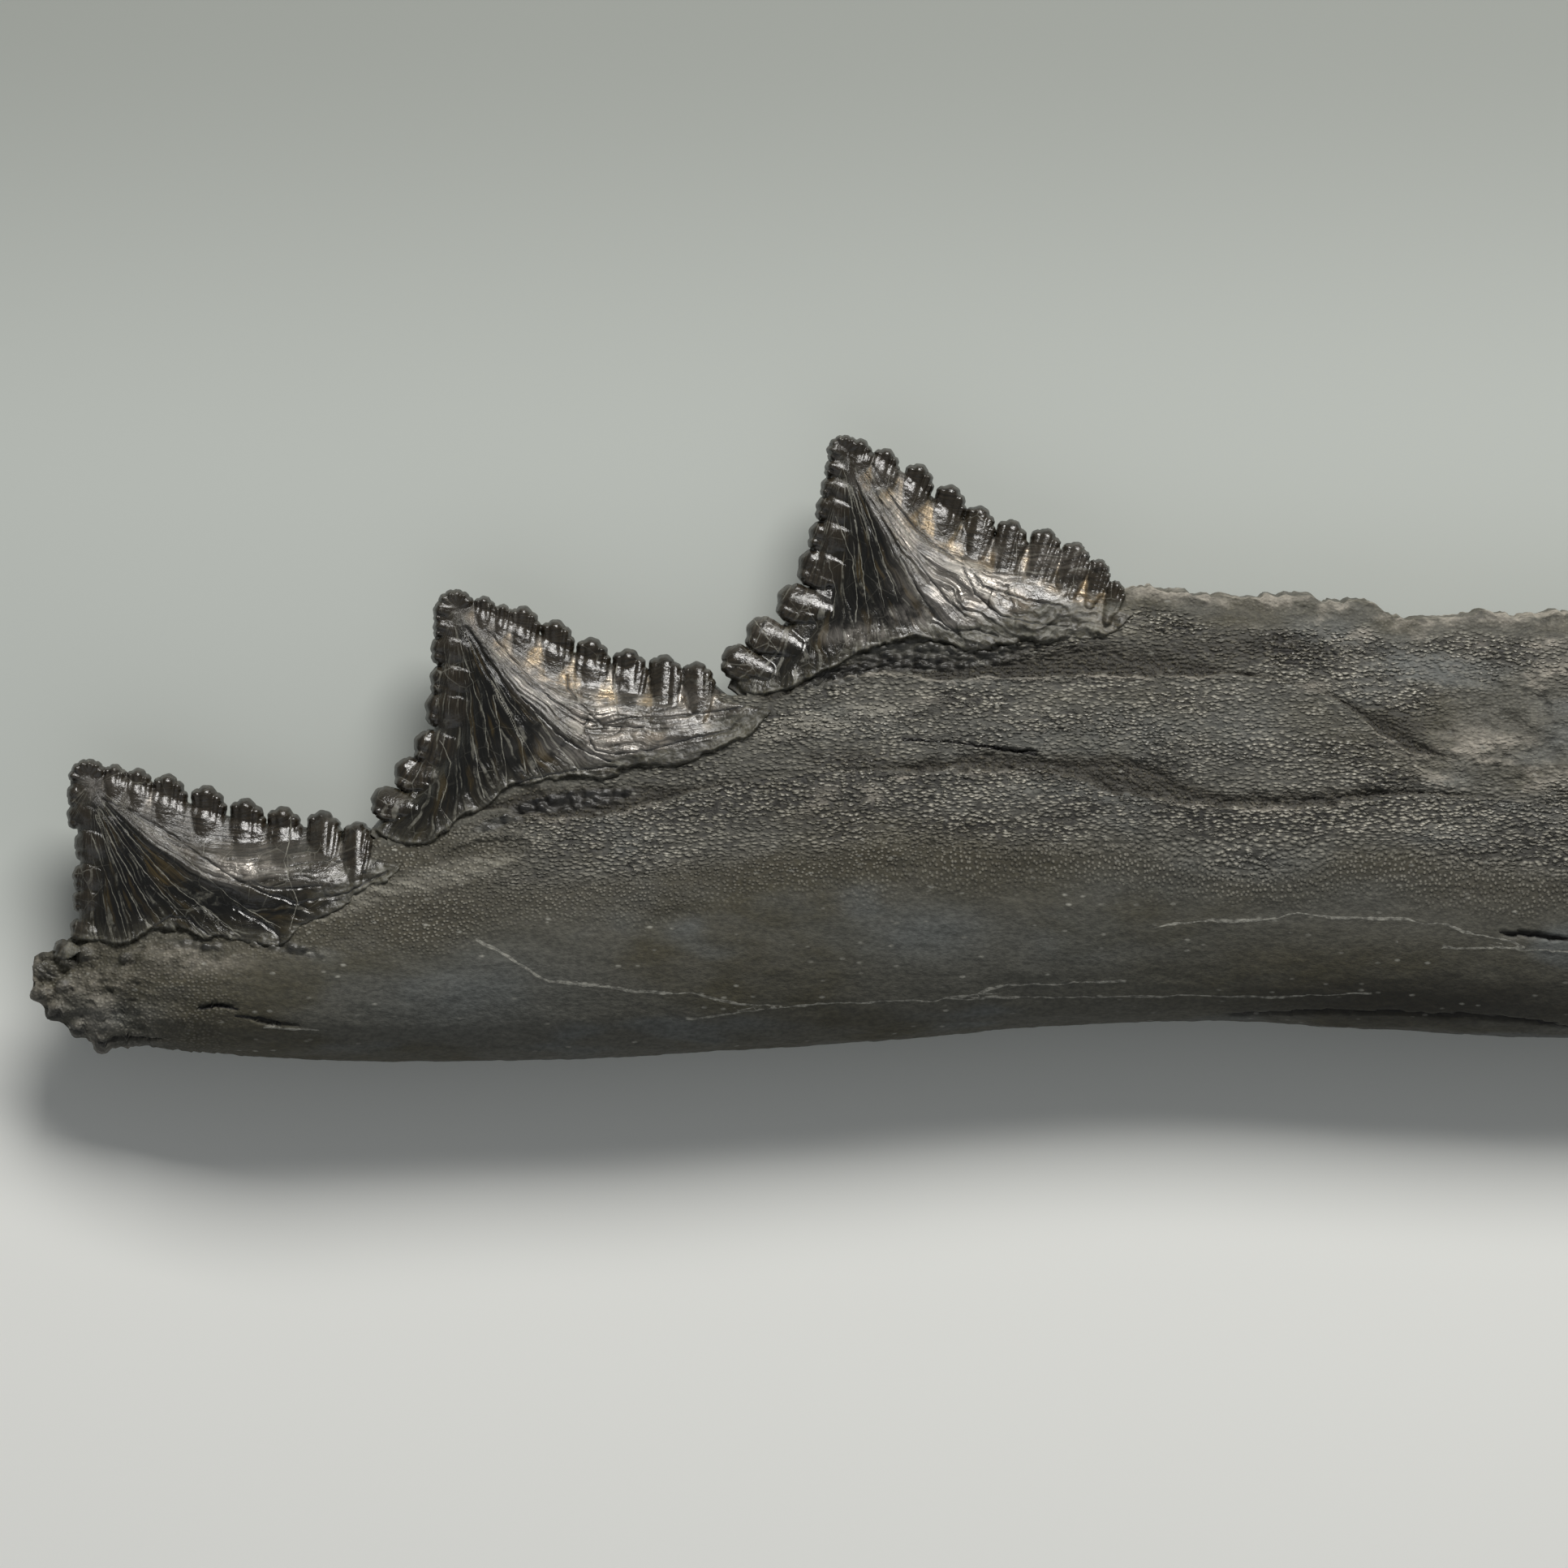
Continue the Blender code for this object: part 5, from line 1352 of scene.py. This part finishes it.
def enamel_material():
    """Black glossy enamel with a pewter sheen where it is polished, a painted highlight between the saw's ribs,
    tan flakes, and pale mud in its cracks.
    """
    enamel = Finish("fossil_enamel", ENAMEL_BODY)
    mask, spread, times, less = enamel.mask, enamel.spread, enamel.times, enamel.less
    fine = enamel.noise(0.35, 3.0, 0.6)
    mottled = enamel.noise(2.2, 5.0, 0.62)
    cloudy = enamel.noise(6.0, 3.0)
    turn, reach = mask("flow_turn"), mask("flow_reach")
    hairs = enamel.noise_on(enamel.lay(turn, reach, *HAIR_CELL), 4.0, 0.6)
    bands = enamel.noise_on(enamel.lay(turn, reach, *BAND_CELL), 3.0, 0.55)
    fan, rib, gap = mask("fan"), mask("rib"), mask("gap")

    enamel.coat(ENAMEL_OLIVE, spread(cloudy, 0.35, 0.65))
    enamel.coat(ENAMEL_GREY, mask("flow"), spread(bands, 0.38, 0.62, 0.15, 1.0), spread(hairs, 0.3, 0.6, 0.3, 0.9))
    enamel.coat(ENAMEL_BLACK, fan, spread(bands, 0.6, 0.75, 0.96, 0.6))
    enamel.coat(ENAMEL_BRONZE, fan, spread(bands, 0.52, 0.66, 0.0, 0.6))
    enamel.coat(FLAKE_TAN, mask("flake"), spread(mottled, 0.35, 0.6, 0.1, 0.8))
    enamel.coat(ENAMEL_UMBER, rib, 0.85)

    # The polish takes the slope, the gaps between the saw's ribs and some rubbed places, not the ribs; in the gaps
    # it is also a painted highlight where light falls into the valleys.
    sheen = enamel.calc("MAXIMUM", mask("silver"), times(mask("slope"), spread(bands, 0.44, 0.66, 0.0, 0.55)))
    sheen = enamel.calc("MAXIMUM", sheen, times(gap, 0.6))
    off_rib = less(rib, 0.9)
    polished = times(sheen, off_rib, spread(mottled, 0.38, 0.6, 0.15, 1.0))
    enamel.coat(enamel.mix(times(gap, spread(cloudy, 0.4, 0.6, 0.1, 1.0)), PEWTER, GILT_AND_HIGHLIGHT), polished)
    enamel.coat(ENAMEL_BLACK, mask("chip_edge"), 0.8)
    crumbs = times(mask("foot"), spread(mottled, 0.3, 0.6, 0.5, 1.0))
    enamel.coat(enamel.mix(spread(fine, 0.35, 0.62), BONE_BROWN, BONE_GREY), crumbs)
    streaked = enamel.mix(spread(hairs, 0.32, 0.66), STREAK_DARK, STREAK_LIGHT)
    enamel.tint = enamel.mix(1.0, enamel.tint, streaked, "MULTIPLY")

    # Pale mud fills the drawn cracks and two webs of fine ones, a close one all over and a long one in the fan.
    on_line = enamel.calc("LESS_THAN", enamel.calc("ABSOLUTE", mask("line_side")),
                         spread(mottled, 0.35, 0.65, 0.015, 0.080))
    line = times(on_line, spread(mask("line_away"), 0.4, 0.2))
    web = enamel.cells(enamel.where, scale=310.0, flat=False, edges=True)["Distance"]
    web_line = times(enamel.calc("LESS_THAN", web, 0.016), spread(cloudy, 0.44, 0.62, 0.0, 0.5), less(fan, 0.7))
    fan_web = enamel.cells(enamel.lay(turn, reach, *FAN_CELL), edges=True)["Distance"]
    fan_line = times(spread(fan_web, 0.055, 0.03), spread(mottled, 0.42, 0.6, 0.0, 0.6), spread(turn, 55.0, 35.0))
    web_line = enamel.calc("MAXIMUM", web_line, fan_line)
    pale_line = enamel.calc("MAXIMUM", times(line, mask("line_kind")), web_line)
    enamel.coat(CRACK_PALE, pale_line, spread(fine, 0.3, 0.6, 0.3, 0.9))
    split = times(line, less(mask("line_kind")))
    enamel.coat(ENAMEL_BLACK, split)

    dull = enamel.calc("MAXIMUM", enamel.calc("MAXIMUM", pale_line, split), crumbs)
    enamel.bump(fine, 0.35, 0.08)
    enamel.bump(times(hairs, off_rib, less(fan, 0.6)), 0.6, 0.22)
    enamel.bump(times(mottled, less(fan, 0.8)), 0.6, 0.40)
    gloss = spread(fan, 0.0, 1.0, 0.24, 0.13)
    return enamel.done(Metallic=spread(times(less(dull), polished), 0.0, 1.0, 0.0, 0.85),
                       Roughness=enamel.calc("MULTIPLY_ADD", dull, 0.4, gloss), Specular_IOR_Level=ENAMEL_SHEEN)


CROWN_SEED, CROWN_SEED_STEP = 1000, 40
enamel = enamel_material()
for number, (crown_name, tooth) in enumerate(CROWNS.items()):
    crown = build_crown(crown_name + "_crown", tooth, CROWN_SEED + CROWN_SEED_STEP * number, enamel)
    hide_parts(tooth["node"])
    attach(crown, "root")

# Floor, light and camera
# A pale grey sheet under the jaw, one broad soft light from beyond the crowns, and a camera straight above
# the side that shows.

# The far and near floor tones are painted shade and painted light.
FLOOR_FAR_PAINTED_SHADE = colour(0.29, 0.305, 0.285)
FLOOR_MIDDLE = colour(0.45, 0.475, 0.45)
FLOOR_NEAR_PAINTED_LIGHT = colour(0.76, 0.765, 0.74)
FLOOR_REACH = 1.5
STUDIO_AIR = colour(0.86, 0.89, 0.9)
STUDIO_AIR_STRENGTH = 0.18
CAMERA_HEIGHT = 0.70
PHOTO_SIZE = 1932


def floor_material():
    """Pale matt grey, with painted shade making it darker beyond the jaw and painted light making it paler in
    front of it.
    """
    sheet = Finish("pale_floor", FLOOR_MIDDLE)
    height = sheet.add("ShaderNodeSeparateXYZ", None, Vector=sheet.where).outputs["Y"]
    # Painted shade beyond the jaw and painted light in front of it.
    sheet.coat(FLOOR_FAR_PAINTED_SHADE, sheet.spread(height, 0.03, 0.10))
    sheet.coat(FLOOR_NEAR_PAINTED_LIGHT, sheet.spread(height, -0.005, -0.06))
    return sheet.done(Roughness=0.65, Specular_IOR_Level=0.25)


floor_mesh = bpy.data.meshes.new("floor")
floor_corners = [(-1, -1), (1, -1), (1, 1), (-1, 1)]
floor_mesh.from_pydata([(x * FLOOR_REACH, y * FLOOR_REACH, 0) for x, y in floor_corners], [], [(0, 1, 2, 3)])
floor_mesh.materials.append(floor_material())
floor = bpy.data.objects.new("floor", floor_mesh)
bpy.context.scene.collection.objects.link(floor)


def soft_light(name, place, size, power, tone):
    """A soft box that points at the middle of the jaw."""
    data = bpy.data.lights.new(name, "AREA")
    data.shape = "RECTANGLE"
    data.size, data.size_y = size
    data.energy = power
    data.color = tone
    light = bpy.data.objects.new(name, data)
    light.location = place
    x, y, z = place
    light.rotation_euler = (math.atan2(math.hypot(x, y), z), 0, math.atan2(-y, -x) - math.pi / 2)
    bpy.context.scene.collection.objects.link(light)


soft_light("far_softbox", place=(0.16, 0.70, 0.52), size=(0.62, 0.26), power=10.8, tone=(1.0, 0.985, 0.955))
soft_light("near_fill", place=(-0.15, -0.60, 0.70), size=(1.50, 0.80), power=1.6, tone=(0.96, 0.98, 1.0))

world = bpy.data.worlds.new("studio")
world.use_nodes = True
air = world.node_tree.nodes["Background"].inputs
air["Color"].default_value = STUDIO_AIR
air["Strength"].default_value = STUDIO_AIR_STRENGTH
bpy.context.scene.world = world
bpy.context.scene.view_settings.view_transform = "Standard"

middle_x, middle_y = from_photo(PHOTO_SIZE / 2, PHOTO_SIZE / 2)
camera_data = bpy.data.cameras.new("camera")
camera = bpy.data.objects.new("camera", camera_data)
camera.location = jaw_point(np.array(middle_x), np.array(middle_y), np.array(0.0)).tolist()
camera.location.z += CAMERA_HEIGHT
camera_data.sensor_fit = "HORIZONTAL"
camera_data.lens = camera_data.sensor_width * CAMERA_HEIGHT / (PHOTO_SIZE * PIXEL * MM)
bpy.context.scene.collection.objects.link(camera)
bpy.context.scene.camera = camera
